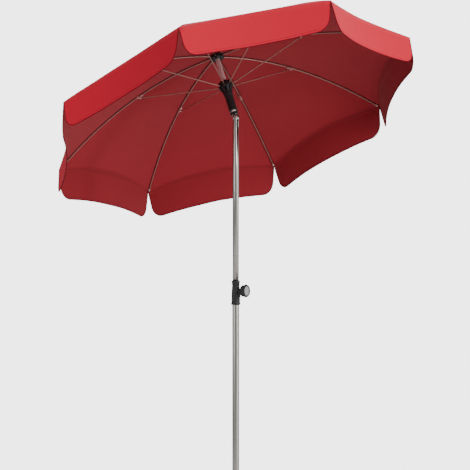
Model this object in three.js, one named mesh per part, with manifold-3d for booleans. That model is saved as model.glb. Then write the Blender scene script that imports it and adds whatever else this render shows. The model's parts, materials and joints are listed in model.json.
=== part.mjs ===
// Patio umbrella with a tilting mast and a round slab base.
// Millimetres, +Z up. Origin: centre of the base's underside, on the pole's axis.
// The mast leans towards +Y; the clamp knob and the open side of the tilt joint face -Y.
import * as THREE from 'three';
import { mergeVertices } from 'three/addons/utils/BufferGeometryUtils.js';
import Module from 'manifold-3d';

const wasm = await Module();
wasm.setup();

// ---- driving dimensions ----------------------------------------------------
const runningGap = 0.5;          // radial play of pieces that slide or turn
const fixedGap = 0.3;            // play of pieces that are pushed or screwed home
const rimFacets = 28;            // facets of a tube or disc

// canopy frame
const ribCount = 8;
const ribReach = 750;            // mast axis to rib tip
const ribRise = 224;             // rib pivots above the rib tips
const ribBow = 2.1;              // power of the rib's bow, 2 is a parabola
const ribRadius = 2.5;
const ribTurn = -4.3;            // degrees from the lean to the first rib
const mastRadius = 9.5;
const hingeRadius = mastRadius + 11.5;   // ring that the ribs or stretchers hang on
const ringWireRadius = 1.5;
const stretcherReach = 350;      // mast axis to the stretcher's outer pivot
const stretcherDrop = 8;         // rib's middle to that pivot
const stretcherRadius = 2.25;
const eyeRadius = 4;
const eyeWidth = 3.6;
const tipRadius = 3.2;           // cap on the rib's end
const tipLength = 11;
const cheekWidth = 1.3;          // side plates of the rib's bracket
const bladeWidth = 2.2;          // flattened end of the stretcher between them

// canopy cloth
const clothThickness = 2;
const clothHole = 6;             // radius of the hole at the crown
const seamGap = 1.2;             // between neighbouring panels
const valanceDepth = 118;
const valanceDeepening = 16;     // extra depth halfway between ribs
const valanceFlare = 18;         // how far its lower edge stands out
const valanceFullAt = 0.1;       // share of the gore where the valance reaches its depth
const hemBow = 42;               // how far the rim is drawn in halfway between ribs
const goreSag = 9;               // how far the cloth dips between ribs
const valanceHang = 0.65;        // 0 along the mast, 1 straight down

// mast, tilt joint and poles, each tube sliding or sitting in the next
const mastWall = 1;
const tiltAngle = 26.5;          // degrees from upright
const crownToTilt = 286;
const tiltHeight = 1748;         // tilt pin above the floor
const upperRadius = 12.5;        // upper pole
const tongueWidth = 8;
const tongueRadius = upperRadius - 2.5;
const shoulderRadius = mastRadius + 1.5; // collar under the mast tube
const shoulderHeight = 10;
const pinRadius = 3;
const upperWall = 1.2;
const upperBottom = 850;
const lowerWall = 1;
const lowerRadius = upperRadius + runningGap + lowerWall;
const lowerTop = 1040;
const slotDepth = 42;            // tilt slot below the pin
const insertDepth = 62;
const buttonRadius = 3.5;
const buttonDrop = 28;           // button below the pin
const buttonTravel = 2.5;

// crown and runner
const hubRadius = hingeRadius + 8;
const crownDepth = 12;
const slotWidth = 5.8;
const runnerDrop = 139;          // crown to the runner's ring
const runnerTopRise = 20;
const runnerHubDepth = 26;
const sleeveRadius = mastRadius + 7;
const sleeveEnd = 252;           // crown to the sleeve's lower end

// height clamp
const clampBottom = 1002;
const clampTop = 1098;
const clampTurn = 20.7;          // degrees, knob away from -Y
const clampSkirtRadius = lowerRadius + 5;
const clampNeckRadius = upperRadius + 2.5;
const clampLipRadius = upperRadius + 4.5;
const screwRadius = 4;
const knobRadius = 26;
const knobDepth = 23;
const knobStandOff = lowerRadius + 12;   // pole axis to the knob's back

// base
const slabRadius = 225;
const slabHeight = 50;
const slabEdge = 8;
const padRadius = slabRadius - 35;
const padHeight = 4;
const flangeHeight = 4;
const linerWall = 2;
const socketWall = 2;
const socketRadius = lowerRadius + linerWall + socketWall + 2 * runningGap;
const flangeRadius = socketRadius + 43;
const socketTop = 300;
const boltCircle = flangeRadius - 16;
const boltRadius = 3.2;
const boltHeadRadius = 6.5;
const boltHeadHeight = 5;
const boltLength = 34;
const linerLip = 5;
const baseScrewHeight = 270;
const baseKnobRadius = 21;

// ---- materials -------------------------------------------------------------
const finish = (color, roughness, metalness = 0) =>
  new THREE.MeshStandardMaterial({ color, roughness, metalness });
const cloth = finish('#b5343b', 0.85);
const poleSteel = finish('#a9a69e', 0.32, 1);
const jointSteel = finish('#c9c6c0', 0.25, 1);
const ribSteel = finish('#a98a86', 0.4, 1);
const tipPlastic = finish('#d8c4bc', 0.45);
const blackPlastic = finish('#1c1c1d', 0.55);
const greyPlastic = finish('#b9bab8', 0.5);
const granite = finish('#8d8b88', 0.7);
const rubber = finish('#202020', 0.9);

// ---- solids ----------------------------------------------------------------
// A closed geometry as a manifold solid, and back again.
function solid(geometry) {
  const bare = geometry.index ? geometry.toNonIndexed() : geometry.clone();
  bare.deleteAttribute('normal');
  bare.deleteAttribute('uv');
  const merged = mergeVertices(bare, 1e-4);
  const mesh = new wasm.Mesh({
    numProp: 3,
    vertProperties: new Float32Array(merged.attributes.position.array),
    triVerts: new Uint32Array(merged.index.array),
  });
  mesh.merge();
  return new wasm.Manifold(mesh);
}

function geometryOf(manifold) {
  const mesh = manifold.getMesh();
  const geometry = new THREE.BufferGeometry();
  geometry.setAttribute('position', new THREE.BufferAttribute(mesh.vertProperties, 3));
  geometry.setIndex(new THREE.BufferAttribute(mesh.triVerts, 1));
  return geometry;
}

const cut = (body, ...tools) => tools.reduce((left, tool) => left.subtract(tool), body);
const join = (...bodies) => bodies.reduce((left, right) => left.add(right));

// Turned piece about Z from [radius, height] corners that start and end on the axis.
function turned(corners, facets = rimFacets) {
  const profile = corners.map(([radius, height]) => new THREE.Vector2(radius, height));
  const geometry = new THREE.LatheGeometry(profile, facets);
  geometry.rotateX(Math.PI / 2);
  return solid(geometry);
}

const rod = (radius, low, high, facets = rimFacets) =>
  turned([[0, low], [radius, low], [radius, high], [0, high]], facets);
const tube = (radius, wall, low, high) =>
  rod(radius, low, high).subtract(rod(radius - wall, low - 1, high + 1));

// Block by its lowest and highest corners.
function block(low, high) {
  const size = high.map((value, axis) => value - low[axis]);
  const geometry = new THREE.BoxGeometry(...size);
  geometry.translate(...low.map((value, axis) => value + size[axis] / 2));
  return solid(geometry);
}

// Ring of wire about Z.
function wireRing(radius, wire, height) {
  const geometry = new THREE.TorusGeometry(radius, wire, 6, 32);
  geometry.translate(0, 0, height);
  return solid(geometry);
}

// Outline in the XZ plane, given thickness along Y and centred on it.
function plate(shape, thickness) {
  const geometry = new THREE.ExtrudeGeometry(shape, {
    depth: thickness, bevelEnabled: false, curveSegments: 5,
  });
  geometry.rotateX(Math.PI / 2);
  geometry.translate(0, thickness / 2, 0);
  return solid(geometry);
}

const circle = (x, z, radius) => new THREE.Shape().absarc(x, z, radius, 0, Math.PI * 2);
const degrees = (angle) => THREE.MathUtils.degToRad(angle);
const spokes = Array.from({ length: ribCount }, (_, index) => (360 / ribCount) * index);

// ---- scene graph -----------------------------------------------------------
const umbrella = new THREE.Group();

function piece(name, body, material, parent = umbrella, turn = 0) {
  const geometry = body.isBufferGeometry ? body : geometryOf(body);
  const mesh = new THREE.Mesh(geometry, material);
  mesh.name = name;
  mesh.rotation.z = degrees(turn);
  parent.add(mesh);
  return mesh;
}

// Head: origin on the crown's rib pivots, Z along the mast, leaning towards +Y.
const lean = degrees(tiltAngle);
const head = new THREE.Group();
head.position.set(0, crownToTilt * Math.sin(lean), tiltHeight + crownToTilt * Math.cos(lean));
head.rotation.x = -lean;
umbrella.add(head);
// Spokes count from the low side of the lean.
const spokeTurn = (index) => 90 + ribTurn + spokes[index];

// ---- ribs and stretchers, each drawn along +X ------------------------------
const ribHeight = (reach) => {
  const along = Math.max(0, (reach - hingeRadius) / (ribReach - hingeRadius));
  return -ribRise * along ** ribBow;
};
const pivotHeight = ribHeight(stretcherReach) - stretcherDrop;

// Round bar along a list of XZ points.
function bar(points, radius, facets = 6, steps = 10) {
  const section = new THREE.Shape();
  for (let corner = 0; corner < facets; corner += 1) {
    const angle = (corner / facets) * Math.PI * 2;
    const move = corner ? 'lineTo' : 'moveTo';
    section[move](radius * Math.cos(angle), radius * Math.sin(angle));
  }
  section.closePath();
  const path = new THREE.CatmullRomCurve3(points.map(([x, z]) => new THREE.Vector3(x, 0, z)));
  return solid(new THREE.ExtrudeGeometry(section, {
    steps, extrudePath: path, bevelEnabled: false,
  }));
}

function eye() {
  const outline = circle(hingeRadius, 0, eyeRadius);
  outline.holes.push(circle(hingeRadius, 0, ringWireRadius + runningGap));
  return plate(outline, eyeWidth);
}

function ribBody() {
  const start = hingeRadius + eyeRadius - 0.8;
  const points = Array.from({ length: 9 }, (_, index) => {
    const reach = start + ((ribReach - tipLength - start) * index) / 8;
    return [reach, ribHeight(reach)];
  });
  const cheeks = new THREE.Shape();
  const top = ribHeight(stretcherReach);
  cheeks.moveTo(stretcherReach - 11, top + 1);
  cheeks.lineTo(stretcherReach - 5, pivotHeight - 1);
  cheeks.absarc(stretcherReach, pivotHeight, 4.5, Math.PI * 1.1, Math.PI * 1.9);
  cheeks.lineTo(stretcherReach + 11, top - 3);
  cheeks.closePath();
  const fork = plate(cheeks, bladeWidth + 2 * (cheekWidth + fixedGap));
  const space = block(
    [stretcherReach - 20, -bladeWidth / 2 - fixedGap, pivotHeight - 10],
    [stretcherReach + 20, bladeWidth / 2 + fixedGap, pivotHeight + 4.2],
  );
  return join(bar(points, ribRadius), eye(), cut(fork, space));
}

function ribTipBody() {
  const back = ribReach - tipLength;
  const slope = Math.atan2(ribHeight(ribReach) - ribHeight(back), tipLength);
  return turned([
    [0, fixedGap], [2, fixedGap], [tipRadius, 1.5], [tipRadius, tipLength - 3],
    [tipRadius - 1, tipLength - 1], [0, tipLength],
  ], 10)
    .rotate([0, 90, 0])
    .rotate([0, -THREE.MathUtils.radToDeg(slope), 0])
    .translate([back, 0, ribHeight(back)]);
}

function stretcherBody() {
  const low = -runnerDrop;
  const run = stretcherReach - hingeRadius;
  const rise = pivotHeight - low;
  const slope = rise / run;
  const at = (reach) => [reach, low + slope * (reach - hingeRadius)];
  const rodBody = bar(
    [at(hingeRadius + eyeRadius - 0.8), at(stretcherReach / 2), at(stretcherReach - 9)],
    stretcherRadius, 6, 2,
  );
  const blade = new THREE.Shape();
  const [endX, endZ] = at(stretcherReach);
  const [startX, startZ] = at(stretcherReach - 16);
  blade.moveTo(startX, startZ - 2.1);
  blade.absarc(endX, endZ, 3, -Math.PI / 2, Math.PI / 2);
  blade.lineTo(startX, startZ + 2.1);
  blade.closePath();
  return join(rodBody, eye().translate([0, 0, low]), plate(blade, bladeWidth));
}

// ---- canopy cloth ----------------------------------------------------------
const turnAbout = (point, angle) =>
  point.clone().applyAxisAngle(new THREE.Vector3(0, 0, 1), degrees(angle));
const clothLift = ribRadius + fixedGap + 1.4;   // rib's middle to the cloth's underside

// Point on the cloth's underside: reach along the rib, side -0.5 to 0.5 of a gore.
function clothPoint(reach, side) {
  const slope = (ribHeight(reach + 1) - ribHeight(reach - 1)) / 2;
  const normal = new THREE.Vector3(-slope, 0, 1).normalize().multiplyScalar(clothLift);
  const onRib = new THREE.Vector3(reach, 0, ribHeight(reach)).add(normal);
  const next = turnAbout(onRib, (360 / ribCount) * Math.sign(side || 1));
  const share = Math.abs(side);
  const along = Math.min(1, reach / ribReach);
  const sag = goreSag * Math.sin(Math.PI * along) ** 2 * 4 * share * (1 - share);
  return onRib.lerp(next, share).add(new THREE.Vector3(0, 0, -sag));
}

// Reach along the rib at which the rim lies.
const rimAt = (side) => ribReach + 4 - hemBow * 4 * Math.abs(side) * (1 - Math.abs(side));
const clothFlat = hubRadius + 6;       // the cloth lies flat over the crown up to here

function valanceLength(side) {
  const share = Math.min(1, Math.abs(side) / valanceFullAt);
  const deepening = valanceDeepening * 4 * Math.abs(side) * (1 - Math.abs(side));
  return Math.max(5, (valanceDepth + deepening) * Math.sqrt(1 - (1 - share) ** 2));
}

// Panel centred on the rib along +X, from mid-gore to mid-gore, with its valance.
// The head's own lean makes the valance hang off the mast's axis.
function canopyPanel(turn) {
  const rows = 8;
  const hang = 2;
  const sides = [-0.5, -0.25, -0.1, -0.04, 0, 0.04, 0.1, 0.25, 0.5];
  const plumb = turnAbout(new THREE.Vector3(0, Math.sin(lean), -Math.cos(lean)), -turn);
  const alongMast = new THREE.Vector3(0, 0, -1);
  const down = alongMast.lerp(plumb, valanceHang).normalize();
  const trim = (point, side) => {
    if (Math.abs(side) < 0.5) return point;
    const edge = new THREE.Vector3(0, Math.sign(side), 0);
    const inward = turnAbout(edge, (180 / ribCount) * Math.sign(side)).multiplyScalar(-1);
    return point.addScaledVector(inward, seamGap / 2);
  };
  const grid = [];
  for (let row = 0; row <= rows + hang; row += 1) {
    grid.push(sides.map((side) => {
      const share = (Math.min(row, rows) - 1) / (rows - 1);
      const reach = row ? clothFlat + (rimAt(side) - clothFlat) * share : clothHole;
      const point = clothPoint(reach, side);
      const drop = (Math.max(0, row - rows) / hang) * valanceLength(side);
      const outward = turnAbout(new THREE.Vector3(1, 0, 0), (360 / ribCount) * side);
      point.addScaledVector(outward, (valanceFlare * drop) / valanceDepth);
      return trim(point.addScaledVector(down, drop), side);
    }));
  }
  return shell(grid, clothThickness);
}

// Closed solid from a grid of points and a thickness laid on its outer side.
function shell(grid, thickness) {
  const rows = grid.length;
  const columns = grid[0].length;
  const at = (row, column) => grid[
    Math.min(rows - 1, Math.max(0, row))][Math.min(columns - 1, Math.max(0, column))];
  const outer = grid.map((line, row) => line.map((point, column) => {
    const down = at(row + 1, column).clone().sub(at(row - 1, column));
    const across = at(row, column + 1).clone().sub(at(row, column - 1));
    const normal = down.cross(across).normalize();
    return point.clone().addScaledVector(normal, thickness);
  }));
  const vertices = [...grid.flat(), ...outer.flat()];
  const id = (layer, row, column) => layer * rows * columns + row * columns + column;
  const faces = [];
  const quad = (a, b, c, d) => faces.push(a, b, c, a, c, d);
  for (let row = 0; row < rows - 1; row += 1) {
    for (let column = 0; column < columns - 1; column += 1) {
      quad(id(0, row, column), id(0, row, column + 1),
        id(0, row + 1, column + 1), id(0, row + 1, column));
      quad(id(1, row, column), id(1, row + 1, column),
        id(1, row + 1, column + 1), id(1, row, column + 1));
    }
  }
  for (let row = 0; row < rows - 1; row += 1) {
    quad(id(0, row, 0), id(0, row + 1, 0), id(1, row + 1, 0), id(1, row, 0));
    quad(id(0, row, columns - 1), id(1, row, columns - 1),
      id(1, row + 1, columns - 1), id(0, row + 1, columns - 1));
  }
  for (let column = 0; column < columns - 1; column += 1) {
    quad(id(0, 0, column), id(1, 0, column), id(1, 0, column + 1), id(0, 0, column + 1));
    quad(id(0, rows - 1, column), id(0, rows - 1, column + 1),
      id(1, rows - 1, column + 1), id(1, rows - 1, column));
  }
  const geometry = new THREE.BufferGeometry();
  const values = vertices.flatMap((point) => point.toArray());
  geometry.setAttribute('position', new THREE.Float32BufferAttribute(values, 3));
  geometry.setIndex(faces);
  return geometry;
}

// ---- crown -----------------------------------------------------------------
const radialSlots = (inner, outer, low, high) => spokes.map((spoke) =>
  block([inner, -slotWidth / 2, low], [outer, slotWidth / 2, high]).rotate([0, 0, spoke]));

const groove = (low, high) => {
  const wide = ringWireRadius + runningGap;
  return turned([
    [0, low], [hingeRadius + wide, low], [hingeRadius + wide, high], [0, high],
  ]).subtract(rod(hingeRadius - wide, low - 1, high + 1));
};

const crownTop = 2.2;
const capStem = 2.6;

function crownHubBody() {
  const body = turned([
    [0, -crownDepth], [hubRadius - 3, -crownDepth], [hubRadius, -crownDepth + 3],
    [hubRadius, crownTop - 1], [hubRadius - 1, crownTop], [0, crownTop],
  ]);
  return cut(
    body,
    ...radialSlots(14.5, hubRadius + 2, -crownDepth - 1, crownTop + 1),
    groove(-ringWireRadius - runningGap, crownTop + 1),
    rod(mastRadius + fixedGap, -crownDepth - 1, -2.5),
    rod(capStem + fixedGap, -3, crownTop + 1, 20),
  );
}

function crownCapBody() {
  const seat = clothLift + clothThickness + fixedGap + 0.6;
  const disc = turned([
    [0, seat], [20, seat], [22, seat + 2], [18, seat + 6], [9, seat + 10],
    [7, seat + 18], [0, seat + 20],
  ]);
  return disc.add(rod(capStem, -18, seat + 1, 20));
}

// ---- runner ----------------------------------------------------------------
function runnerBody() {
  const top = -runnerDrop + runnerTopRise;
  const hubEnd = -runnerDrop - runnerHubDepth;
  const body = turned([
    [0, top], [hubRadius - 6, top], [hubRadius - 4, top - 2], [hubRadius, -runnerDrop + 9],
    [hubRadius, -runnerDrop - 5], [sleeveRadius + 3, hubEnd],
    [sleeveRadius + 1.5, hubEnd - 12], [sleeveRadius + 1.5, hubEnd - 16],
    [sleeveRadius, hubEnd - 17], [sleeveRadius, -sleeveEnd + 6],
    [sleeveRadius + 1, -sleeveEnd + 4], [sleeveRadius + 1, -sleeveEnd], [0, -sleeveEnd],
  ].reverse());
  const ringPlay = ringWireRadius + runningGap;
  return cut(
    body,
    ...radialSlots(14, hubRadius + 2, hubEnd - 0.5, top + 1),
    groove(-runnerDrop - ringPlay, top + 1),
    rod(mastRadius + runningGap, -sleeveEnd - 1, top + 1),
  );
}

// ---- mast and tilt joint ---------------------------------------------------
const shoulderTop = -crownToTilt + upperRadius + 1.5 + shoulderHeight;
const tubeEnd = shoulderTop + fixedGap;

// Cast piece: plug in the mast tube, shoulder under it, tongue round the pin.
function tiltTongueBody() {
  const plug = rod(mastRadius - mastWall - fixedGap, shoulderTop - 1, shoulderTop + 30);
  const shoulder = rod(shoulderRadius, shoulderTop - shoulderHeight, shoulderTop);
  const outline = new THREE.Shape();
  outline.moveTo(-tongueRadius, shoulderTop - 1);
  outline.absarc(0, -crownToTilt, tongueRadius, Math.PI, Math.PI * 2);
  outline.lineTo(tongueRadius, shoulderTop - 1);
  outline.closePath();
  outline.holes.push(circle(0, -crownToTilt, pinRadius + runningGap));
  const tongue = plate(outline, tongueWidth).rotate([0, 0, 90]);
  return join(plug, shoulder, tongue);
}

// Pin with a head at each end, along X through the fork.
function tiltPinBody() {
  const outside = upperRadius + fixedGap;
  const shank = rod(pinRadius, -outside - 2, outside + 2, 20);
  const headOf = (side) => {
    const low = side > 0 ? outside : -outside - 2.5;
    return rod(pinRadius + 2.5, low, low + 2.5, 20);
  };
  return join(shank, headOf(-1), headOf(1))
    .rotate([0, 90, 0])
    .translate([0, 0, tiltHeight]);
}

// Pole with a fork at its top: rounded about the pin, slotted along Y.
function upperPoleBody() {
  const body = tube(upperRadius, upperWall, upperBottom, tiltHeight + upperRadius + 2);
  const rounding = new THREE.Shape();
  rounding.moveTo(-upperRadius - 4, upperBottom - 10);
  rounding.lineTo(upperRadius + 4, upperBottom - 10);
  rounding.lineTo(upperRadius + 4, tiltHeight - 4);
  rounding.absarc(0, tiltHeight, upperRadius + 0.6, 0, Math.PI);
  rounding.lineTo(-upperRadius - 4, tiltHeight - 4);
  rounding.closePath();
  const keep = plate(rounding, 4 * upperRadius).rotate([0, 0, 90]);
  const half = tongueWidth / 2 + runningGap;
  const reach = upperRadius + 5;
  const slotFront = block([-half, -reach, tiltHeight - slotDepth],
    [half, 0, tiltHeight + reach]);
  const slotBack = block([-half, 0, tiltHeight - tongueRadius - 3],
    [half, reach, tiltHeight + reach]);
  const pinHole = rod(pinRadius + fixedGap, -reach, reach, 20)
    .rotate([0, 90, 0])
    .translate([0, 0, tiltHeight]);
  const buttonHole = rod(buttonRadius + runningGap, 0, reach, 20)
    .rotate([-90, 0, 0])
    .translate([0, 0, tiltHeight - buttonDrop]);
  return cut(body.intersect(keep), slotFront, slotBack, pinHole, buttonHole);
}

// Plastic core below the tongue, which guides the button and its spring.
const insertRadius = upperRadius - upperWall - fixedGap;
const springRoom = 10;

function tiltInsertBody() {
  const top = tiltHeight - tongueRadius - 2.5;
  const body = rod(insertRadius, tiltHeight - insertDepth, top);
  const bore = rod(buttonRadius + runningGap, -springRoom / 2, upperRadius + 5, 20)
    .rotate([-90, 0, 0])
    .translate([0, 0, tiltHeight - buttonDrop]);
  return body.subtract(bore);
}

function tiltButtonBody() {
  const low = upperRadius - 8;
  return rod(buttonRadius, low, upperRadius + buttonTravel, 20)
    .rotate([-90, 0, 0])
    .translate([0, 0, tiltHeight - buttonDrop]);
}

// Coil between the core's bore and the button.
function tiltSpringBody() {
  const start = -springRoom / 2 + fixedGap + 0.5;
  const end = upperRadius - 8 - fixedGap - 0.5;
  const turns = 4;
  const coilRadius = buttonRadius - 1;
  const points = Array.from({ length: turns * 8 + 1 }, (_, index) => {
    const angle = (index / 8) * Math.PI * 2;
    const along = start + ((end - start) * index) / (turns * 8);
    return new THREE.Vector3(
      coilRadius * Math.cos(angle), along, coilRadius * Math.sin(angle));
  });
  const wire = new THREE.Shape();
  for (let corner = 0; corner < 4; corner += 1) {
    const angle = (corner / 4) * Math.PI * 2;
    wire[corner ? 'lineTo' : 'moveTo'](0.4 * Math.cos(angle), 0.4 * Math.sin(angle));
  }
  wire.closePath();
  const geometry = new THREE.ExtrudeGeometry(wire, {
    steps: turns * 8, bevelEnabled: false,
    extrudePath: new THREE.CatmullRomCurve3(points),
  });
  return solid(geometry).translate([0, 0, tiltHeight - buttonDrop]);
}

function poleGuideBody() {
  const flange = 6;
  return join(
    rod(lowerRadius - lowerWall - runningGap, upperBottom - fixedGap - flange,
      upperBottom - fixedGap),
    rod(upperRadius - upperWall - fixedGap, upperBottom - flange, upperBottom + 24),
  ).subtract(rod(6, upperBottom - 20, upperBottom + 30));
}

// ---- height clamp ----------------------------------------------------------
const clampHeight = (clampBottom + clampTop) / 2;
const knobHeight = clampTop - 40;

function clampCollarBody() {
  const step = lowerTop + 8;
  const body = turned([
    [0, clampBottom], [clampSkirtRadius, clampBottom],
    [clampSkirtRadius, clampBottom + 6], [clampSkirtRadius - 1.5, clampBottom + 8],
    [clampSkirtRadius - 2, clampHeight], [clampNeckRadius + 1, clampHeight + 12],
    [clampNeckRadius, clampTop - 18], [clampNeckRadius + 1, clampTop - 8],
    [clampLipRadius, clampTop - 6], [clampLipRadius, clampTop], [0, clampTop],
  ]);
  const boss = rod(9, 0, knobStandOff - 3).rotate([90, 0, 0]).translate([0, 0, knobHeight]);
  const web = block([-7, -knobStandOff + 7, clampHeight - 22], [7, -8, knobHeight]);
  const screwHole = rod(screwRadius + fixedGap, 0, knobStandOff + 5, 20)
    .rotate([90, 0, 0])
    .translate([0, 0, knobHeight]);
  return cut(
    join(body, boss, web),
    rod(lowerRadius + fixedGap, clampBottom - 1, step),
    rod(upperRadius + runningGap, clampBottom - 1, clampTop + 1),
    screwHole,
  );
}

// Screw with its tip just off the pole.
function clampScrewBody(tip, end, height) {
  return rod(screwRadius, tip, end, 20).rotate([90, 0, 0]).translate([0, 0, height]);
}

// Fluted knob: back face at standOff from the pole axis, a dish in its front.
function knobBody({ radius, standOff, depth, height, lobes, dish }) {
  const outline = new THREE.Shape();
  const points = lobes * 4;
  for (let index = 0; index < points; index += 1) {
    const angle = (index / points) * Math.PI * 2;
    const edge = radius - 1.2 + 1.2 * Math.cos(lobes * angle);
    outline[index ? 'lineTo' : 'moveTo'](edge * Math.cos(angle), edge * Math.sin(angle));
  }
  outline.closePath();
  const rim = solid(new THREE.ExtrudeGeometry(outline, { depth, bevelEnabled: false }));
  const neck = rod(radius * 0.45, -4, 1);
  const bore = rod(screwRadius + fixedGap, -6, depth - 5, 20);
  const front = rod(radius - 5, depth - dish, depth + 1);
  return cut(join(rim, neck), bore, front)
    .rotate([90, 0, 0])
    .translate([0, -standOff - 5, height]);
}

// ---- base ------------------------------------------------------------------
const slabTop = padHeight + slabHeight;
const flangeTop = slabTop + fixedGap + flangeHeight;
const boltTurns = [90, 210, 330];
const socketFloor = slabTop + fixedGap;
const footHeight = flangeTop + 4;
const plugFoot = footHeight + fixedGap;
const lowerBottom = plugFoot + 6 + fixedGap;

const boltTools = (radius, low, high) => boltTurns.map((turn) =>
  rod(radius, low, high, 20).translate([boltCircle, 0, 0]).rotate([0, 0, turn]));

function slabBody() {
  const low = padHeight;
  const body = turned([
    [0, low], [slabRadius - 3, low], [slabRadius, low + 3],
    [slabRadius, slabTop - slabEdge], [slabRadius - slabEdge * 0.3, slabTop - slabEdge * 0.3],
    [slabRadius - slabEdge, slabTop], [0, slabTop],
  ], 48);
  const recess = rod(padRadius + fixedGap, low - 1, low + 3 + fixedGap);
  return cut(body, recess, ...boltTools(boltRadius + fixedGap, slabTop - boltLength, slabTop + 1));
}

function padBody() {
  return rod(padRadius, 0, padHeight + 3);
}

function socketBody() {
  const flange = rod(flangeRadius, socketFloor, flangeTop);
  const stem = rod(socketRadius, socketFloor, socketTop);
  const hollow = rod(socketRadius - socketWall, footHeight - 3, socketTop + 1);
  const boss = rod(9, 0, socketRadius + 5).rotate([90, 0, 0]).translate([0, 0, baseScrewHeight]);
  const screwHole = rod(screwRadius + fixedGap, 0, socketRadius + 9, 20)
    .rotate([90, 0, 0])
    .translate([0, 0, baseScrewHeight]);
  return cut(
    join(flange, stem, boss), hollow, screwHole,
    ...boltTools(boltRadius + fixedGap, socketFloor - 1, flangeTop + 1),
  );
}

function boltBody(turn) {
  const low = slabTop - boltLength + 2;
  const seat = flangeTop + fixedGap;
  return join(
    rod(boltRadius, low, seat + 1, 20),
    rod(boltHeadRadius, seat, seat + boltHeadHeight, 6),
  ).translate([boltCircle, 0, 0]).rotate([0, 0, turn]);
}

// Plastic sleeve between the socket and the pole, with a lip on the socket's rim.
function linerBody() {
  const outer = socketRadius - socketWall - runningGap;
  const lipLow = socketTop + fixedGap;
  const body = join(
    rod(outer, socketTop - 120, lipLow + 1),
    rod(socketRadius + 1.5, lipLow, lipLow + linerLip),
  );
  return cut(body, rod(lowerRadius + runningGap, socketTop - 125, lipLow + linerLip + 1));
}

function polePlugBody() {
  return join(
    rod(lowerRadius, plugFoot, plugFoot + 6),
    rod(lowerRadius - lowerWall - fixedGap, plugFoot + 5, plugFoot + 30),
  );
}

// ---- assembly --------------------------------------------------------------
piece('base_slab', slabBody(), granite);
piece('base_pad', padBody(), rubber);
piece('base_socket', socketBody(), poleSteel);
boltTurns.forEach((turn, index) => piece(`base_bolt_${index + 1}`, boltBody(turn), jointSteel));
piece('base_liner', linerBody(), blackPlastic);

const baseScrewTip = socketRadius - socketWall + fixedGap;
const baseKnobAt = socketRadius + 9;
piece('base_screw', clampScrewBody(baseScrewTip, baseKnobAt + 12, baseScrewHeight), jointSteel);
piece('base_knob', knobBody({
  radius: baseKnobRadius, standOff: baseKnobAt, depth: 13, height: baseScrewHeight,
  lobes: 6, dish: 1.5,
}), blackPlastic);

piece('pole_plug', polePlugBody(), blackPlastic);
piece('lower_pole', tube(lowerRadius, lowerWall, lowerBottom, lowerTop), poleSteel);

const clamp = new THREE.Group();
clamp.rotation.z = degrees(clampTurn);
umbrella.add(clamp);
const screwTip = upperRadius + runningGap;
piece('clamp_collar', clampCollarBody(), blackPlastic, clamp);
piece('clamp_screw',
  clampScrewBody(screwTip, knobStandOff + knobDepth - 2, knobHeight), jointSteel, clamp);
piece('clamp_knob', knobBody({
  radius: knobRadius, standOff: knobStandOff, depth: knobDepth, height: knobHeight,
  lobes: 12, dish: 3,
}), blackPlastic, clamp);
const capBack = knobStandOff + 5 + knobDepth - 3 + fixedGap;
piece('clamp_knob_cap', turned([
  [0, capBack], [knobRadius - 5 - fixedGap, capBack], [knobRadius - 5.5, capBack + 3],
  [knobRadius - 9, capBack + 4.2], [0, capBack + 5],
]).rotate([90, 0, 0]).translate([0, 0, knobHeight]), greyPlastic, clamp);

piece('upper_pole', upperPoleBody(), poleSteel);
piece('pole_guide', poleGuideBody(), blackPlastic);
piece('tilt_insert', tiltInsertBody(), blackPlastic);
piece('tilt_button', tiltButtonBody(), greyPlastic);
piece('tilt_spring', tiltSpringBody(), jointSteel);
piece('tilt_pin', tiltPinBody(), jointSteel);

piece('tilt_tongue', tiltTongueBody(), jointSteel, head);
piece('mast_tube', tube(mastRadius, mastWall, tubeEnd, -3), ribSteel, head);
piece('crown_hub', crownHubBody(), blackPlastic, head, spokeTurn(0));
piece('crown_ring', wireRing(hingeRadius, ringWireRadius, 0), jointSteel, head);
piece('crown_cap', crownCapBody(), blackPlastic, head);
piece('runner', runnerBody(), blackPlastic, head, spokeTurn(0));
piece('runner_ring', wireRing(hingeRadius, ringWireRadius, -runnerDrop), jointSteel, head);

const ribShape = geometryOf(ribBody());
const ribTipShape = geometryOf(ribTipBody());
const stretcherShape = geometryOf(stretcherBody());
spokes.forEach((_, index) => {
  const number = index + 1;
  const turn = spokeTurn(index);
  piece(`rib_${number}`, ribShape, ribSteel, head, turn);
  piece(`rib_tip_${number}`, ribTipShape, tipPlastic, head, turn);
  piece(`stretcher_${number}`, stretcherShape, ribSteel, head, turn);
  piece(`canopy_panel_${number}`, canopyPanel(turn), cloth, head, turn);
});

export default umbrella;
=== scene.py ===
"""Tilting patio umbrella on a round slab base, laid out as an add-on and run as a script."""

import json
import math

import bmesh
import bpy
from bpy.props import FloatProperty, FloatVectorProperty, IntProperty, PointerProperty
from mathutils import Matrix, Vector, noise


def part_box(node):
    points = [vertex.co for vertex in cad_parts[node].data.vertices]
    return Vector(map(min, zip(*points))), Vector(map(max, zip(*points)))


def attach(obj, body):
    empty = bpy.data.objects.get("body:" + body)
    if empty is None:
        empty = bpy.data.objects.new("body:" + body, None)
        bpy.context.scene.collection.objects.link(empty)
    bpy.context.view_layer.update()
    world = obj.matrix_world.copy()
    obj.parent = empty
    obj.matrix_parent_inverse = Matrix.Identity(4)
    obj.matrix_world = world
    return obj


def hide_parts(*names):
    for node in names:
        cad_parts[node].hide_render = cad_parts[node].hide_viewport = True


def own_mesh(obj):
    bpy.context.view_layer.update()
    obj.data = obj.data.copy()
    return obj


bl_info = {
    "name": "Patio Umbrella",
    "version": (1, 0, 0),
    "blender": (4, 5, 0),
    "location": "View3D > Sidebar > Umbrella",
    "description": "Builds the cloth, frame, poles and base of a tilting patio umbrella",
    "category": "Add Mesh",
}

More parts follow.
